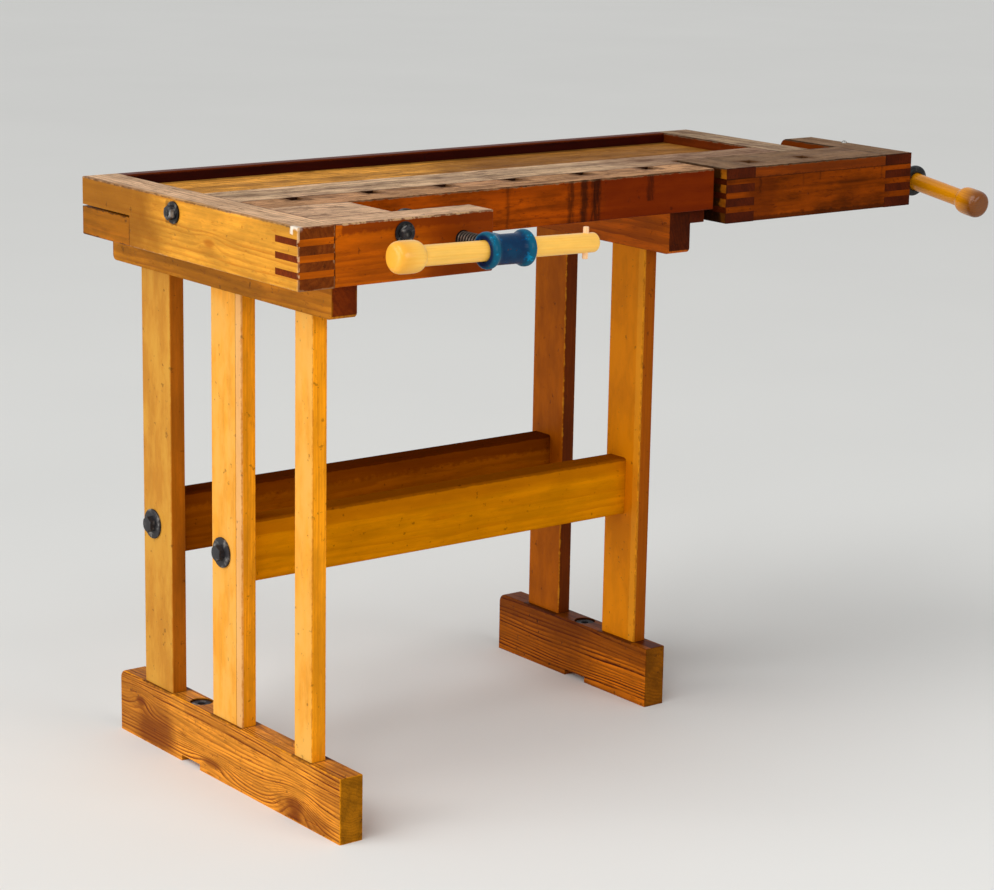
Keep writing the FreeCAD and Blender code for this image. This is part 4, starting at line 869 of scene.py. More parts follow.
def cast(made, grain, rounds):
    """Melts overlapping surfaces into one skin of small cells, with softened corners, as on a casting."""
    melt = made.modifiers.new("Melt", "REMESH")
    melt.mode = "VOXEL"
    melt.voxel_size = grain * MM
    soften = made.modifiers.new("Soften", "SMOOTH")
    soften.factor = 0.5
    soften.iterations = rounds
    solid = made.evaluated_get(bpy.context.evaluated_depsgraph_get())
    skin = bpy.data.meshes.new_from_object(solid)
    made.modifiers.clear()
    made.data = skin
    skin.shade_smooth()


def middle(node):
    """The middle of a node's box, in metres."""
    low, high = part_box(node)
    return (np.array(low) + np.array(high)) / 2


def paint(node, material):
    """Gives a board of the frame its material."""
    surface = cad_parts[node].data
    surface.materials.clear()
    surface.materials.append(material)


# ---------------------------------------------------------------------------------------------------------
# Boards
# ---------------------------------------------------------------------------------------------------------

class BENCH_OT_top_boards(bpy.types.Operator):
    """Woods of the top: slab, strip, tray, rail, end caps and shoulder vise"""

    bl_idname = "bench.top_boards"
    bl_label = "Top boards"

    def execute(self, context):
        tints = context.scene.bench_woods
        looks = {
            "main_slab": Look(
                "x", tints.strip, tints.strip_streak, heart=(20, -90), top=tints.worn_slab, laps=31.7,
                marks=[
                    (160, tints.tail_streak, 0.5, {"x": (800, 1100), "z": (60, 64)}),
                    *holes_of(tints, DOG_HOLES, (-2, 0.6), TOP_THICK),
                ],
            ),
            "front_strip": Look(
                "x", tints.strip, tints.strip_streak, heart=(70, 8), top=tints.worn_strip, dirt=0.6,
                clouds=1.6, shine=0.02, end=tints.tail_end,
                shifts=[(150, tints.strip_dark, 0.85, {"x": (600, 900)})],
                runs=[
                    (408, 6, 0, 64, 0.45), (524, 11, 0, 64, 0.6), (549, 13, 0, 64, 0.75),
                    (571, 17, 0, 64, 0.8), (676, 13, 24, 64, 0.65), (86, 5, 10, 40, 0.4),
                ],
                marks=[
                    *holes_of(tints, DOG_HOLES, (45.6, 70.6), TOP_THICK),
                    *smudges(tints, DOG_HOLES, (40, 72), TOP_THICK),
                ],
            ),
            "tray_bottom": Look(
                "x", tints.tray, tints.tray_streak, heart=(30, -60), ring=9, contrast=0.7,
                top=tints.tray, top_streak=tints.tray_streak, seam=0, laps=76, dirt=0.35,
                marks=[
                    (200, tints.tray_streak, 0.7, {"x": (600, 1200)}),
                    # Painted shade: darker bands along the tray bottom's front edge under the slab and its
                    # back edge by the rail.
                    (9, tints.grime_and_shade, 0.55, {"y": (0, 9)}),
                    (12, tints.grime_and_shade, 0.55, {"y": (216, 240)}),
                ],
            ),
            # Painted shade: the back rail's near-black tone stands partly for the shade inside the tray.
            "back_rail": Look(
                "x", tints.rail, tints.rail_streak, rub=0.6, rub_tone=tints.cap_inside,
                marks=[(2, tints.cap_inside, 0.7, {"z": (60.5, 64)})],
            ),
            "left_end_cap": Look(
                "y", tints.cap, tints.cap_streak, heart=(-40, 24), ring=8, contrast=0.6,
                top=tints.worn, end=tints.end, rub=0.25, rub_tone=tints.scuff_and_highlight, seam=0.5, rim=9, dirt=0.1,
                bared=[{"x": (-1, 2.4), "y": (-1, 2.4)}],
                knots=[(217, 34, 30, 12, 14), (85, 58, 5, 3, 3), (124, 36, 3, 3, 2), (134, 67, 3, 5, 2)],
                shifts=[
                    (150, tints.cap_dark, 0.85, {"y": (430, 600)}),
                    (0.8, tints.grime_and_shade, 0.85, {"y": (440.5, 442), "z": (-1, 44)}),
                ],
                marks=[
                    (5, tints.grime_and_shade, 0.5, {"y": (303, 327), "z": (48, 76)}),
                    (4, tints.chip, 0.8, {"x": (-1, 5), "y": (3, 15), "z": (82, 86)}),
                    (3, tints.chip, 0.8, {"x": (-1, 4), "y": (14, 17), "z": (75, 86)}),
                ],
            ),
            "end_cap_block": Look(
                "y", tints.block, tints.cap_streak, end=tints.end, rub=0.7, rub_tone=tints.grime_and_shade,
            ),
            "vise_arm": Look(
                "x", tints.arm, tints.arm_streak, heart=(-60, 20), contrast=0.4, top=tints.worn,
                end=tints.end, rub=0.3, rub_tone=tints.arm_dark, dirt=0.25,
                shifts=[
                    # Painted shade: the arm is painted darker from x 235 towards its end, as in shadow.
                    (60, tints.arm_dark, 0.8, {"x": (235, 400)}),
                    (5, tints.arm_dark, 0.75, {"x": (70, 400), "z": (72, 90)}),
                ],
                marks=[(1.2, tints.grime_and_shade, 0.8, {"x": (56.5, 57.5), "y": (-1, 3)})],
                bared=[
                    {"x": (-1, 2.4), "y": (-1, 2.4)}, {"y": (-1, 1.2), "z": (82, 86), "x": (60, 320)},
                ],
            ),
            "shoulder_block": Look(
                "x", tints.arm, tints.arm_streak, heart=(90, -60), top=tints.worn, end=tints.end, dirt=0.6,
            ),
            "fixed_jaw_block": Look("y", tints.strip_dark, tints.tail_streak, end=tints.tail_end),
            "right_end_cap": Look(
                "y", tints.cap_inside, tints.tail_streak, heart=(-40, -50), top=tints.worn_cap,
                end=tints.tail_end, dirt=0.55,
            ),
            "guide_keeper": Look("x", tints.bearer, tints.bearer_streak, end=tints.end),
        }
        dress(looks, 1)
        return {"FINISHED"}


class BENCH_OT_trestle_boards(bpy.types.Operator):
    """Woods of the trestles: feet, bearers, posts and stretchers"""

    bl_idname = "bench.trestle_boards"
    bl_label = "Trestle boards"

    def execute(self, context):
        tints = context.scene.bench_woods
        foot = {"wander": 20, "fibre": 1.0, "scars": 0.9}
        post = {"heart": (90, -30), "contrast": 0.3, "fibre": 0.45, "end": tints.end}
        stretcher = {"contrast": 0.35, "fibre": 0.25, "shine": 0.0, "clouds": 0.55}
        # Painted shade and dirt: a dark line on each post in the crease where it enters its foot.
        foot_line = (1.2, tints.grime_and_shade, 0.9, {"z": (52, 55.6)})
        upper_edge = (1.6, tints.grime_and_shade, 0.7, {"z": (87, 91)})
        # Painted light: side paints the posts' faces at the lowest x paler, as lit by the window.
        pale = {"side": tints.post_lit_side, "clouds": 0.8, **post}
        looks = {
            "left_foot": Look(
                "y", tints.foot, tints.foot_streak, heart=(30, 100), ring=4.5, end=tints.foot_end,
                knots=[(112, 24, 50, 24, 26), (530, 60, 30, 16, 12), (330, 20, 60, 14, 12)], contrast=1.2,
                shifts=[
                    (60, tints.foot_streak, 0.4, {"y": (480, 620)}),
                    (40, tints.foot_streak, 0.7, {"y": (455, 520), "z": (10, 34)}),
                    (34, tints.foot_streak, 0.55, {"y": (40, 130), "z": (-5, 12)}),
                    (8, tints.foot_streak, 0.3, {"y": (150, 400), "z": (78, 90)}),
                    (30, tints.foot_streak, 0.4, {"y": (-20, 40), "z": (60, 100)}),
                ],
                marks=[
                    *under_posts(tints, ((76, 119), (253, 332), (443, 522))),
                    *inside_recess(tints, 387.5),
                ],
                rub_tone=tints.post, **foot,
            ),
            "right_foot": Look(
                "y", tints.right_foot, tints.right_foot_streak, heart=(50, 130), ring=5.5, contrast=1.5,
                end=tints.right_foot_end,
                shifts=[
                    (90, tints.right_foot_streak, 0.5, {"y": (190, 400)}),
                    (16, tints.right_foot_streak, 0.5, {"z": (70, 110)}),
                ],
                marks=[*under_posts(tints, ((41, 120), (231, 310))), *inside_recess(tints, 175.5)],
                **foot,
            ),
            "left_bearer": Look(
                "y", tints.bearer, tints.bearer_streak, end=tints.strip_dark, rub=0.5,
                rub_tone=tints.foot_end, shifts=[(3, tints.grime_and_shade, 0.7, {"z": (63, 67)})],
            ),
            "right_bearer": Look("y", tints.right_bearer, tints.tail_streak, end=tints.rail),
            "left_front_post": Look("z", tints.post, tints.post_streak, marks=[foot_line], **pale),
            "left_middle_post": Look(
                "z", tints.post, tints.post_streak,
                # Painted highlight: a pale band along the front of the face at the lowest x, as light
                # caught by the arris, with a thin dark line behind it.
                shifts=[
                    (1.5, tints.scuff_and_highlight, 0.5, {"x": (-1, 2), "y": (0.5, 13)}),
                    (0.6, tints.grime_and_shade, 0.6, {"x": (-1, 3), "y": (14.4, 15)}),
                ],
                marks=[foot_line],
                **pale,
            ),
            "left_back_post": Look(
                "z", tints.back_post, tints.post_streak, marks=[foot_line], side=tints.back_post_lit_side,
                clouds=0.6, **post,
            ),
            "right_middle_post": Look(
                "z", tints.right_post, tints.right_post_streak, marks=[foot_line],
                side=tints.right_post_lit_side, clouds=0.4,
                # Painted highlight: a lighter band along the front of the face at the lowest x, as light
                # caught by the arris.
                shifts=[(1.5, tints.handle_streak, 0.4, {"x": (-1, 2), "y": (0, 13)})],
                **post,
            ),
            "right_back_post": Look(
                "z", tints.right_back_post, tints.right_post_streak, marks=[foot_line],
                side=tints.right_back_lit_side, clouds=0.5, rub=0.35, rub_tone=tints.handle_streak, **post,
            ),
            "front_stretcher": Look(
                "x", tints.stretcher, tints.stretcher_streak,
                shifts=[upper_edge, (14, tints.stretcher_streak, 0.5, {"z": (74, 92)})], **stretcher,
            ),
            "back_stretcher": Look(
                "x", tints.back_stretcher, tints.strip_streak,
                shifts=[upper_edge, (10, tints.strip_streak, 0.5, {"z": (72, 92)})], **stretcher,
            ),
        }
        dress(looks, 21)
        return {"FINISHED"}


class BENCH_OT_tail_boards(bpy.types.Operator):
    """Woods of the tail vise's box and its guide rail"""

    bl_idname = "bench.tail_boards"
    bl_label = "Tail vise boards"

    def execute(self, context):
        tints = context.scene.bench_woods
        worn = {"top": tints.worn_tail, "end": tints.tail_end, "dirt": 0.6, "rub_tone": tints.grime_and_shade}
        looks = {
            # Painted light and shade: side paints the face at the lowest x ochre as lit, and the shift at
            # x below 3 paints that face nearly black behind its first 15 mm, as shade in the narrow gap
            # beside the strip's end; the block is also darker along its bottom.
            "tail_jaw_block": Look(
                "y", tints.tail, tints.tail_streak, side=tints.tail_jaw,
                shifts=[
                    (9, tints.grime_and_shade, 0.7, {"z": (0, 16)}),
                    (6, tints.grime_and_shade, 0.9, {"x": (-1, 3), "y": (15, 130)}),
                ],
                **worn,
            ),
            "tail_front_board": Look(
                "x", tints.tail, tints.tail_streak, heart=(30, 30), contrast=0.3, clouds=1.8, shine=0.02,
                shifts=[
                    (4, tints.grime_and_shade, 0.55, {"z": (-1, 5)}), (0.9, tints.grime_and_shade, 0.75, {"z": (66.8, 69)}),
                    (22, tints.tail_streak, 0.5, {"x": (58, 90)}),
                ],
                runs=[
                    (70, 3, 44, 70, 0.6), (160, 2, 50, 70, 0.5), (196, 2, 56, 70, 0.6),
                    (330, 3, 52, 70, 0.5),
                ],
                end=tints.tail_end, rub_tone=tints.grime_and_shade,
            ),
            "tail_top_plate": Look(
                "x", tints.tail, tints.tail_streak,
                marks=[
                    *holes_of(tints, TAIL_DOG_HOLES, (34.4, 59.6), TAIL_PLATE_THICK),
                    *smudges(tints, TAIL_DOG_HOLES, (30, 62), TAIL_PLATE_THICK),
                ],
                **worn,
            ),
            "tail_end_board": Look("y", tints.tail, tints.tail_streak, **worn),
            "tail_guide_rail": Look("x", tints.bearer, tints.bearer_streak, end=tints.end),
        }
        dress(looks, 41)
        return {"FINISHED"}


def holes_of(tints, middles, span, height):
    """Painted shade: marks that paint the walls of square dog holes nearly black, as shade and dirt inside
    them; height is the board's.
    """
    half = DOG_HOLE_HALF
    return [
        (0.7, tints.grime_and_shade, 0.95, {"x": (at - half, at + half), "y": span, "z": (-1, height - 1.6)})
        for at in middles
    ]


def smudges(tints, middles, span, height):
    """Dirt round the mouths of dog holes."""
    return [
        (9, tints.worn_streak, 0.75, {"x": (at - 18, at + 16), "y": span, "z": (height - 2, height + 1)})
        for at in middles
    ]


def under_posts(tints, spans):
    """Painted shade and dirt in the crease round the shoulders of the posts that stand on a foot."""
    level = (FOOT_HEIGHT - 0.6, FOOT_HEIGHT + 1)
    return [
        (2.5, tints.grime_and_shade, 0.6, {"y": (start - 1, stop + 1), "z": level})
        for start, stop in spans
    ]


def inside_recess(tints, at):
    """Painted shade: the wall of the recess for a floor fixing is painted nearly black, as shade and dirt
    inside it.
    """
    return [(0.7, tints.grime_and_shade, 0.85, {"y": (at - 17.3, at + 17.3), "x": (1, 37), "z": (40, 93.6)})]


def dress(looks, seed):
    """Gives each board in a table its own wood."""
    for number, (node, look) in enumerate(looks.items()):
        look.seed = seed + number
        paint(node, Board(node, look).done())


# ---------------------------------------------------------------------------------------------------------
# Vise screws, hubs and handles
# ---------------------------------------------------------------------------------------------------------

def front_axis():
    """From the middle of the front hub into the bench, with the handle's direction across it."""
    sizes = bpy.context.scene.bench_turnings
    x, _, z = middle("front_hub")
    place = (x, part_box("front_hub")[0].y + sizes.flange / 2, z)
    return Axis(place, (0, 1, 0), (math.cos(sizes.front_tilt), 0, -math.sin(sizes.front_tilt)))


def tail_axis():
    """From the middle of the tail hub into the bench, with the handle's direction across it."""
    sizes = bpy.context.scene.bench_turnings
    _, y, z = middle("tail_hub")
    place = (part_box("tail_hub")[1].x - sizes.flange / 2, y, z)
    return Axis(place, (-1, 0, 0), (0, math.cos(sizes.tail_tilt), math.sin(sizes.tail_tilt)))


VISES = {
    "front": (front_axis, "front_screw_set", "front_handle_set"),
    "tail": (tail_axis, "tail_screw_set", "tail_handle_set"),
}


class BENCH_OT_hubs(bpy.types.Operator):
    """Cast spools that carry the handles, each with a boss for its screw"""

    bl_idname = "bench.hubs"
    bl_label = "Hubs"

    def execute(self, context):
        sizes = context.scene.bench_turnings
        metals = context.scene.bench_metals
        finishes = {
            "front": enamel_finish(),
            "tail": black_finish("black_casting", metals.casting, 0.4, 0.2, 5),
        }
        for vise, (place, body, _) in VISES.items():
            axis = place()
            low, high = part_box(f"{vise}_hub")
            reach = (high.y - axis.start[1] if vise == "front" else axis.start[0] - low.x) / MM
            surfaces = (spool(axis, sizes), boss(axis, sizes, reach))
            made = piece(f"{vise}_spool", body, surfaces, finishes[vise], f"{vise}_hub")
            cast(made, 0.8, 3)
        return {"FINISHED"}


def spool(axis, sizes):
    """Flanges and neck about the handle's line, bored for the handle."""
    length = sizes.hub / MM
    rim, neck, width = (value / MM for value in (sizes.flange / 2, sizes.neck / 2, sizes.flange_width))
    bored = sizes.rod / MM / 2 + 0.7
    corners = [(bored, 0), (rim - 2.5, 0), (rim, 3), (rim, width - 4), (neck, width + 1)]
    mirrored = [(radius, length - height) for radius, height in reversed(corners)]
    outline = eased(corners + mirrored, [1.5, 3, 3, 5, 5, 5, 5, 3, 3, 1.5], closed=True)
    across = Axis(axis.start - axis.side * length / 2 * MM, axis.side, axis.along)
    return lathe(across, outline, 96, closed=True)


def boss(axis, sizes, reach):
    """A ring on the screw's line whose foot follows the spool's wall.

    Its foot stands at sqrt(wall^2 - (radius * sin(angle))^2) from the handle's line.
    """
    angle = turns(96)
    outer, inner = sizes.boss / MM / 2, sizes.thread / MM / 2 - 0.3
    wall = (sizes.neck / 2 + sizes.rod / 2) / 2 / MM + 0.6
    radius = np.array([inner, outer - 1.2, outer, outer, inner])[:, None] + 0 * angle[None]
    height = np.array([reach, reach, reach - 1.2, 0, 0])[:, None] + 0 * angle[None]
    foot = np.sqrt(np.maximum(wall**2 - (radius * np.sin(angle)) ** 2, 0))
    height[3:] = foot[3:]
    return axis.sweep(radius, height, angle, closed=True)


class BENCH_OT_vise_screws(bpy.types.Operator):
    """Threaded vise screws and the pins that drive them"""

    bl_idname = "bench.vise_screws"
    bl_label = "Vise screws"

    def execute(self, context):
        sizes = context.scene.bench_turnings
        diameter, pitch, depth = (v / MM for v in (sizes.thread, sizes.pitch, sizes.thread_depth))
        radius = diameter / 2
        front, tail = front_axis(), tail_axis()
        tone = context.scene.bench_metals.steel
        steels = {
            "front": steel_finish("front_steel", tone, 0.4, 0.3, 11, ("y", front.start, radius)),
            "tail": steel_finish("tail_steel", tone, 0.4, 0.3, 12, ("x", tail.start, radius)),
        }
        low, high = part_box("front_screw")
        start, end = (low.y - front.start[1]) / MM, (high.y - front.start[1]) / MM
        first, last, shoulder = start + 18, end - 14.6, end - 12.6
        outline = [
            (0, start), (radius, start), (radius, first), (radius, last), (radius - 1, shoulder),
            (8, shoulder), (8, end - 8), (11, end - 8), (11, end - 1), (10, end), (0, end),
        ]
        surfaces = [threaded(front, outline, first, last, diameter, pitch, depth)]
        piece("front_vise_screw", "front_screw_set", surfaces, steels["front"], "front_screw")
        low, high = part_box("tail_screw")
        start, end = (tail.start[0] - high.x) / MM, (tail.start[0] - low.x) / MM
        first, last = start + 105, end - 6
        outline = [
            (0, start), (radius, start), (radius, first), (radius, last), (radius * 0.5, end), (0, end),
        ]
        surfaces = [threaded(tail, outline, first, last, diameter, pitch, depth)]
        piece("tail_vise_screw", "tail_screw_set", surfaces, steels["tail"], "tail_screw")
        dark = steel_finish("pin_steel", tone, 0.4, 0.35, 13)
        for vise, axis in (("front", front), ("tail", tail)):
            pin = middle(f"{vise}_hub_pin")
            line = Axis(pin - axis.side * sizes.boss / 2, axis.side, axis.along)
            length = sizes.boss / MM
            outline = eased([(0, 0), (3, 0), (3, length), (0, length)], 0.6)
            name = f"{vise}_screw_pin"
            piece(name, f"{vise}_screw_set", [lathe(line, outline, 24)], dark, f"{vise}_hub_pin")
        return {"FINISHED"}


class BENCH_OT_handles(bpy.types.Operator):
    """Turned handles with a barrel knob, and the cross pins that keep them in their hubs"""

    bl_idname = "bench.handles"
    bl_label = "Handles"

    def execute(self, context):
        tints = context.scene.bench_woods
        sizes = context.scene.bench_turnings
        start = -(sizes.hub / 2 + sizes.show + sizes.knob_length)
        length = (sizes.knob_length + sizes.rod_length) / MM
        finishes = {
            "front": (
                (0, sizes.front_tilt, 0), tints.handle, tints.handle_streak, 31, 0.35,
                tints.handle_streak,
            ),
            "tail": (
                (0, -sizes.tail_tilt, math.pi / 2), tints.tail_handle, tints.tail_handle_streak, 32, 0.25,
                tints.tail_streak,
            ),
        }
        for vise, (place, _, body) in VISES.items():
            axis = place()
            line = Axis(axis.start + axis.side * start, axis.side, axis.along)
            turn, *look = finishes[vise]
            centre = tuple(line.start / MM)
            wood = handle_finish(f"{vise}_handle_wood", turn, centre, *look)
            surfaces = [lathe(line, handle_outline(sizes, length), 64)]
            piece(f"{vise}_bar", body, surfaces, wood, f"{vise}_handle")
            reach = 22
            pin = Axis(middle(f"{vise}_handle_pin") - line.up * reach * MM, line.up, line.side)
            outline = eased([(0, 0), (4, 0), (4, 2 * reach), (0, 2 * reach)], 1.4)
            tone = tints.pin if vise == "front" else tints.tail_handle
            dowel = handle_finish(f"{vise}_dowel", (0, math.pi / 2, 0), centre, tone, look[1], 33, 0.5)
            piece(f"{vise}_cross_pin", body, [lathe(pin, outline, 32)], dowel, f"{vise}_handle_pin")
        return {"FINISHED"}


def handle_outline(sizes, length):
    """Barrel knob with a round outer end, then a slightly swelled rod with a rounded tip."""
    knob, rod, body = (value / MM for value in (sizes.knob / 2, sizes.rod / 2, sizes.knob_length))
    corners = [
        (0, 0), (knob - 0.6, 0), (knob, 0.55 * body), (knob - 0.8, body - 7), (rod, body),
        (rod, 0.5 * length), (rod - 0.4, length), (0, length),
    ]
    return eased(corners, [0, 17, 10, 7, 2.5, 40, 6, 0], steps=14)


class BENCH_OT_plates(bpy.types.Operator):
    """Swivel plate, vise nuts, thrust plate and collar"""

    bl_idname = "bench.plates"
    bl_label = "Plates and nuts"

    def execute(self, context):
        metals = context.scene.bench_metals
        black = black_finish("plate_black", metals.casting, 0.5, 0.3, 15)
        steel = steel_finish("collar_steel", metals.steel, 0.4, 0.3, 16)
        low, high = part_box("swivel_plate")
        axis = Axis((middle("swivel_plate")[0], high.y, middle("swivel_plate")[2]), (0, -1, 0), (1, 0, 0))
        depth = (high.y - low.y) / MM
        corners = [
            (0, 0), (25, 0), (25, 10), (17, 10), (17, depth), (8.4, depth), (8.4, depth - 4),
            (11.4, depth - 4), (11.4, depth - 12.6), (0, depth - 12.6),
        ]
        outline = eased(corners, [0, 1, 1.5, 3, 1.5, 0.4, 0, 0, 0, 0])
        piece("swivel_pad", "front_plate", [lathe(axis, outline)], black, "swivel_plate")
        corners = [(12.1, 0), (28, 0), (28, 5), (19, 5), (19, 32), (12.1, 32)]
        for node, inward in (("front_vise_nut", (0, -1, 0)), ("tail_vise_nut", (-1, 0, 0))):
            face = np.where(np.array(inward) < 0, np.array(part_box(node)[1]), middle(node))
            outline = eased(corners, 0.8, closed=True)
            nut = lathe(Axis(face, inward, (0, 0, 1)), outline, 64, True)
            piece(f"{node}_casting", "bench", [nut], black, node)
        for name, node, body, (bore, rim, thick), columns, metal in (
            ("thrust_plate", "tail_thrust_plate", "tail_vise_box", (12.2, 30, 5), 64, black),
            ("screw_collar", "tail_collar", "tail_screw_set", (12.05, 19, 10), 48, steel),
        ):
            line = Axis((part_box(node)[1].x, *middle(node)[1:]), (-1, 0, 0), (0, 0, 1))
            outline = eased([(bore, 0), (rim, 0), (rim, thick), (bore, thick)], 0.9, closed=True)
            piece(name, body, [lathe(line, outline, columns, True)], metal, node)
        return {"FINISHED"}


# ---------------------------------------------------------------------------------------------------------
# Fasteners
# ---------------------------------------------------------------------------------------------------------

def solid_boxes(node):
    """Lowest and highest corner of each separate solid of a node, in metres."""
    work = bmesh.new()
    work.from_mesh(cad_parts[node].data)
    bmesh.ops.remove_doubles(work, verts=work.verts, dist=1e-6)
    work.verts.ensure_lookup_table()
    links = np.array([[edge.verts[0].index, edge.verts[1].index] for edge in work.edges])
    places = np.array([vertex.co for vertex in work.verts])
    work.free()
    label = np.arange(len(places))
    while True:
        least = np.minimum(label[links[:, 0]], label[links[:, 1]])
        fresh = label.copy()
        np.minimum.at(fresh, links[:, 0], least)
        np.minimum.at(fresh, links[:, 1], least)
        if (fresh == label).all():
            break
        label = fresh
    groups = [places[label == number] for number in np.unique(label)]
    return [(group.min(0), group.max(0)) for group in groups]


def outward_axis(low, high, along, outer):
    """The centre line of a round piece between two corners, from its outer end."""
    direction = np.array(along, float)
    start = np.where(np.abs(direction) > 0.5, high if outer == "high" else low, (low + high) / 2)
    side = (0, 0, 1) if abs(direction[2]) < 0.5 else (1, 0, 0)
    return Axis(start, direction, side)


class BENCH_OT_stretcher_hardware(bpy.types.Operator):
    """Bolts, big washers and barrel nuts of the stretchers, and the washers in the feet"""

    bl_idname = "bench.stretcher_hardware"
    bl_label = "Stretcher hardware"

    def execute(self, context):
        metals = context.scene.bench_metals
        black = black_finish("bolt_black", metals.blackened, 0.5, 0.5, 17)
        grey = black_finish("washer_black", metals.blackened, 0.55, 0.7, 18)
        steel = steel_finish("barrel_steel", metals.zinc, 0.45, 0.3, 19)
        bolts, washers, barrels = [], [], []
        for low, high in solid_boxes("stretcher_bolts"):
            left = low[0] + high[0] < 0
            axis = outward_axis(low, high, (1, 0, 0) if left else (-1, 0, 0), "low" if left else "high")
            length = (high[0] - low[0]) / MM
            bolts.append(hexagon(axis, BOLT_HEAD, 0, HEAD_HEIGHT))
            first, last = length - 62, length - 1.5
            shank = [(0, 8.5), (6, 8.5), (6, first), (6, last), (4.8, length), (0, length)]
            bolts.append(threaded(axis, shank, first, last, *BOLT_THREAD, 24, 8))
        for low, high in solid_boxes("stretcher_washers"):
            washers.append(ring_of(low, high, 13, 0.7))
        for low, high in solid_boxes("stretcher_barrel_nuts"):
            axis = outward_axis(low, high, (0, 0, 1), "low")
            length = (high[2] - low[2]) / MM
            outline = eased([(0, 0), (10, 0), (10, length), (0, length)], 1.2)
            barrels.append(lathe(axis, outline, 40))
        piece("hex_bolts", "bench", bolts, black, "stretcher_bolts")
        piece("big_washers", "bench", washers, grey, "stretcher_washers")
        piece("barrel_nuts", "bench", barrels, steel, "stretcher_barrel_nuts")
        rings = [ring_of(low, high, 12, 0.6) for low, high in solid_boxes("foot_washers")]
        piece("foot_rings", "bench", rings, grey, "foot_washers")
        return {"FINISHED"}


def ring_of(low, high, bore, ease):
    """A flat washer between two corners: its thin direction is its axis."""
    index = int(np.argmin(high - low))
    along = np.eye(3)[index]
    across = np.delete(high - low, index).max() / MM
    thick = (high - low)[index] / MM
    side = np.eye(3)[(index + 1) % 3]
    axis = Axis(np.where(along > 0, low, (low + high) / 2), along, side)
    corners = [(bore / 2, 0), (across / 2, 0), (across / 2, thick), (bore / 2, thick)]
    return lathe(axis, eased(corners, ease, closed=True), 56, True)


class BENCH_OT_tie_hardware(bpy.types.Operator):
    """Threaded tie rods of the top with their nuts and washers, and the coach screws"""

    bl_idname = "bench.tie_hardware"
    bl_label = "Tie hardware"

    def execute(self, context):
        metals = context.scene.bench_metals
        black = black_finish("tie_black", metals.casting, 0.45, 0.5, 20)
        rods = {"left_tie_rod": 0, "right_tie_rod": 0, "shoulder_tie_rod": 1}
        for node, index in rods.items():
            low, high = (np.array(corner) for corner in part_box(node))
            along = np.eye(3)[index] * (-1 if node == "right_tie_rod" else 1)
            outer = "high" if node == "right_tie_rod" else "low"
            axis = outward_axis(low, high, along, outer)
            length = (high - low)[index] / MM
            outline = [(0, 0), (4.2, 0), (5, 0.8), (5, length - 0.8), (4.2, length), (0, length)]
            surface = threaded(axis, outline, 0.8, length - 0.8, *TIE_THREAD, 20, 7)
            piece(f"{node}_stud", "bench", [surface], black, node)
        nuts = []
        for low, high in solid_boxes("tie_nuts"):
            index = int(np.argmin(high - low))
            axis = Axis(np.where(np.eye(3)[index] > 0, low, (low + high) / 2), np.eye(3)[index], (0, 0, 1))
            nuts.append(hexagon(axis, TIE_NUT, 0, (high - low)[index] / MM, 10.1))
        worn = black_finish("nut_black", metals.blackened, 0.35, 0.9, 21)
        piece("hex_nuts", "bench", nuts, worn, "tie_nuts")
        rings = [ring_of(low, high, 11, 0.6) for low, high in solid_boxes("tie_washers")]
        piece("rod_washers", "bench", rings, black, "tie_washers")
        screws = []
        for low, high in solid_boxes("top_coach_screws"):
            axis = outward_axis(low, high, (0, 0, 1), "low")
            length = (high[2] - low[2]) / MM
            screws.append(hexagon(axis, COACH_HEAD, 0, HEAD_HEIGHT))
            first, last = length - 40, length - 5
            shank = [(0, 8.5), (4, 8.5), (4, first), (4, last), (0, length)]
            screws.append(threaded(axis, shank, first, last, *COACH_THREAD, 20, 8))
        piece("coach_screws", "bench", screws, black, "top_coach_screws")
        return {"FINISHED"}


class BENCH_OT_wood_screws(bpy.types.Operator):
    """Slotted wood screws of the nuts, the thrust plate and the keeper, and the end board's screw"""

    bl_idname = "bench.wood_screws"
    bl_label = "Wood screws"

    def execute(self, context):
        zinc = steel_finish("screw_zinc", context.scene.bench_metals.zinc, 0.4, 0.2, 22)
        groups = {
            "front_nut_screws": ((0, -1, 0), "high", "bench"),
            "tail_nut_screws": ((-1, 0, 0), "high", "bench"),
            "thrust_plate_screws": ((-1, 0, 0), "high", "tail_vise_box"),
            "keeper_screws": ((0, 0, 1), "low", "bench"),
        }
        for node, (along, outer, body) in groups.items():
            surfaces = []
            for low, high in solid_boxes(node):
                axis = outward_axis(low, high, along, outer)
                length = float(np.abs((high - low) @ np.abs(along))) / MM
                surfaces.append(wood_screw(axis, length))
            piece(node.replace("screws", "slotted_screws"), body, surfaces, zinc, node)
        low, high = (np.array(corner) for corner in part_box("end_board_screw"))
        axis = outward_axis(low, high, (0, 0, -1), "high")
        length = (high[2] - low[2]) / MM
        rings = np.linspace(0, 4.5, 9)
        dome = [(radius, 4 - 4 * math.sqrt(max(0, 1 - (radius / 4.5) ** 2))) for radius in rings]
        outline = dome + [(2, 4.2), (2, length - 4), (0, length)]
        surfaces = [slotted(axis, lathe(axis, outline), 4.4, 1.65, 1.1, 0.28)]
        piece("round_head_screw", "tail_vise_box", surfaces, zinc, "end_board_screw")
        return {"FINISHED"}


def wood_screw(axis, length):
    """A countersunk screw with a slot and a coarse thread that ends in a point."""
    rings = [(radius, 0) for radius in np.linspace(0, 3.4, 9)]
    first, last = length * 0.4, length - 5
    outline = rings + [(3.5, 0.2), (2, 1.7), (2, first), (2, last), (0, length)]
    screw = threaded(axis, outline, first, last, *WOOD_THREAD, 32, 8)
    return slotted(axis, screw, 3.3, 0.1, 0.9, 0.3)


# ---------------------------------------------------------------------------------------------------------
# Stage
# ---------------------------------------------------------------------------------------------------------

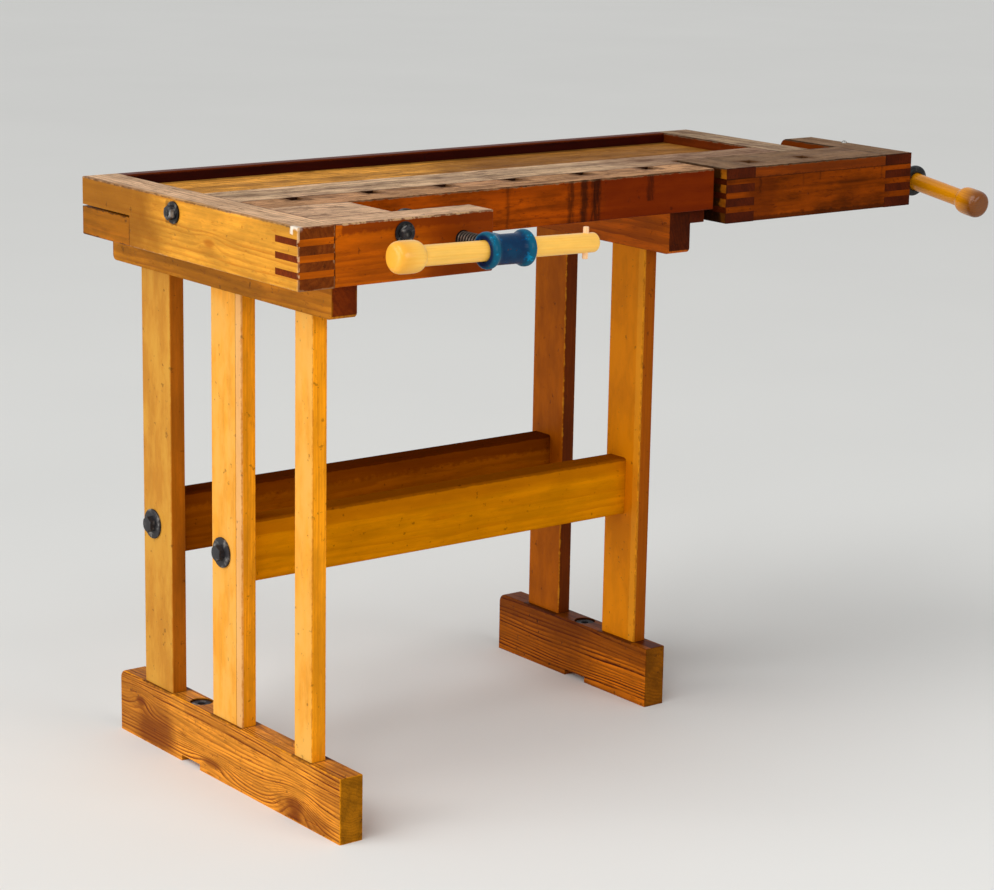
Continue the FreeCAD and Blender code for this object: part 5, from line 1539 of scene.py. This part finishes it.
class BENCH_OT_stage(bpy.types.Operator):
    """Pale floor, soft light and the camera"""

    bl_idname = "bench.stage"
    bl_label = "Stage"

    def execute(self, context):
        settings = context.scene.bench_stage
        lay_floor(settings)
        light(context.scene, settings)
        aim_camera(context.scene, settings)
        context.scene.view_settings.view_transform = "Standard"
        return {"FINISHED"}


def lay_floor(settings):
    """A flat square grid at height 0, where the feet stand."""
    reach, rows = 20, 9
    across = np.linspace(-reach, reach, rows)
    x, y = np.meshgrid(across, across, indexing="ij")
    points = np.stack((x, y, np.zeros_like(x)), -1).reshape(-1, 3)
    cells = grid_quads(rows, rows, False).reshape(rows - 1, rows, 4)[:, :-1].reshape(-1, 4)
    floor = bpy.data.objects.new("floor", mesh_of("floor", points, cells[:, ::-1]))
    bpy.context.scene.collection.objects.link(floor)
    finish = Finish("floor_plaster", settings.floor, 0.9, seed=7)
    camera, glossy, through = (
        Value(finish, finish.node("ShaderNodeLightPath", output=f"Is {ray} Ray"))
        for ray in ("Camera", "Glossy", "Transmission")
    )
    finish.layer(camera.most(glossy).most(through), settings.floor_seen)
    finish.shade((finish.noise(finish.spot, 900, 3) - 0.5) * 0.05 + 1)
    floor.data.materials.append(finish.done(Specular_IOR_Level=0.2))
    floor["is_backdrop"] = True


def light(scene, settings):
    """A soft sun and a wide window on the left, a softer panel in front and an even sky."""
    sun = bpy.data.lights.new("sun", "SUN")
    sun.energy = settings.sun
    sun.angle = math.radians(48)
    hang(scene, sun, (-3.6, 0, 4.8))
    for name, place, width, height, power in (
        ("window", (-5, 1.5, 1.2), 5, 3, settings.window),
        ("front", (0.5, -5, 2.5), 4, 2.5, settings.front),
        ("spark", (-3.6, -3, 3.4), 0.8, 0.8, settings.spark),
    ):
        panel = bpy.data.lights.new(name, "AREA")
        panel.shape = "RECTANGLE"
        panel.size, panel.size_y, panel.energy = width, height, power
        hang(scene, panel, place).visible_camera = False
    world = bpy.data.worlds.new("sky")
    world.use_nodes = True
    tree = world.node_tree
    tree.nodes.clear()
    kinds = (
        "ShaderNodeLightPath", "ShaderNodeMath", "ShaderNodeMath", "ShaderNodeBackground",
        "ShaderNodeBackground", "ShaderNodeMixShader", "ShaderNodeOutputWorld",
    )
    rays, either, any_ray, sky, seen, mix, output = (tree.nodes.new(kind) for kind in kinds)
    either.operation = any_ray.operation = "MAXIMUM"
    sky.inputs["Strength"].default_value = settings.fill
    sky.inputs["Color"].default_value = (1, 1, 1, 1)
    seen.inputs["Color"].default_value = (*settings.backdrop, 1)
    links = (
        (rays.outputs["Is Camera Ray"], either.inputs[0]),
        (rays.outputs["Is Glossy Ray"], either.inputs[1]),
        (either.outputs[0], any_ray.inputs[0]),
        (rays.outputs["Is Transmission Ray"], any_ray.inputs[1]),
        (any_ray.outputs[0], mix.inputs[0]),
        (sky.outputs[0], mix.inputs[1]),
        (seen.outputs[0], mix.inputs[2]),
        (mix.outputs[0], output.inputs["Surface"]),
    )
    for start, end in links:
        tree.links.new(start, end)
    scene.world = world


def hang(scene, lamp, place):
    """Puts a lamp at a place, turned to the bench."""
    made = bpy.data.objects.new(lamp.name, lamp)
    made.location = place
    made.rotation_mode = "QUATERNION"
    made.rotation_quaternion = (Vector(LIT_PLACE) - Vector(place)).to_track_quat("-Z", "Y")
    scene.collection.objects.link(made)
    return made


def aim_camera(scene, settings):
    """Camera directions from heading, dip and lean."""
    lens = bpy.data.cameras.new("camera")
    lens.sensor_width = 36
    lens.lens = settings.lens
    lens.clip_end = 100
    camera = bpy.data.objects.new("camera", lens)
    heading, dip, lean = settings.heading, settings.dip, settings.lean
    forward = Vector(
        (math.sin(heading) * math.cos(dip), math.cos(heading) * math.cos(dip), -math.sin(dip))
    )
    right = Vector((math.cos(heading), -math.sin(heading), 0))
    up = right.cross(forward)
    leaned_right = right * math.cos(lean) + up * math.sin(lean)
    leaned_up = up * math.cos(lean) - right * math.sin(lean)
    turn = Matrix((leaned_right, leaned_up, -forward)).transposed()
    camera.matrix_world = Matrix.Translation(settings.place) @ turn.to_4x4()
    scene.collection.objects.link(camera)
    scene.camera = camera


# ---------------------------------------------------------------------------------------------------------
# Panel and registration
# ---------------------------------------------------------------------------------------------------------

OPERATORS = (
    BENCH_OT_top_boards,
    BENCH_OT_trestle_boards,
    BENCH_OT_tail_boards,
    BENCH_OT_hubs,
    BENCH_OT_vise_screws,
    BENCH_OT_handles,
    BENCH_OT_plates,
    BENCH_OT_stretcher_hardware,
    BENCH_OT_tie_hardware,
    BENCH_OT_wood_screws,
    BENCH_OT_stage,
)

GROUPS = {
    "bench_woods": WoodTints,
    "bench_metals": MetalTints,
    "bench_turnings": TurningSizes,
    "bench_stage": StageSettings,
}


class BENCH_PT_panel(bpy.types.Panel):
    """Lists the pieces and their sizes and colours"""

    bl_idname = "BENCH_PT_panel"
    bl_label = "Workbench"
    bl_space_type = "VIEW_3D"
    bl_region_type = "UI"
    bl_category = "Workbench"

    def draw(self, context):
        for operator in OPERATORS:
            self.layout.operator(operator.bl_idname)
        for group in GROUPS:
            settings = getattr(context.scene, group)
            box = self.layout.box()
            for name in settings.__annotations__:
                box.prop(settings, name)


CLASSES = (*GROUPS.values(), *OPERATORS, BENCH_PT_panel)


def register():
    for item in CLASSES:
        bpy.utils.register_class(item)
    for name, group in GROUPS.items():
        setattr(bpy.types.Scene, name, PointerProperty(type=group))


def unregister():
    for name in GROUPS:
        delattr(bpy.types.Scene, name)
    for item in reversed(CLASSES):
        bpy.utils.unregister_class(item)


def main():
    register()
    for operator in OPERATORS:
        group, name = operator.bl_idname.split(".")
        getattr(getattr(bpy.ops, group), name)()
    bounds = {"cad": CAD_BOUNDS, "visual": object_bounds()}
    sizes = {name: [list(corner) for corner in corners] for name, corners in bounds.items()}


if __name__ == "__main__":
    main()
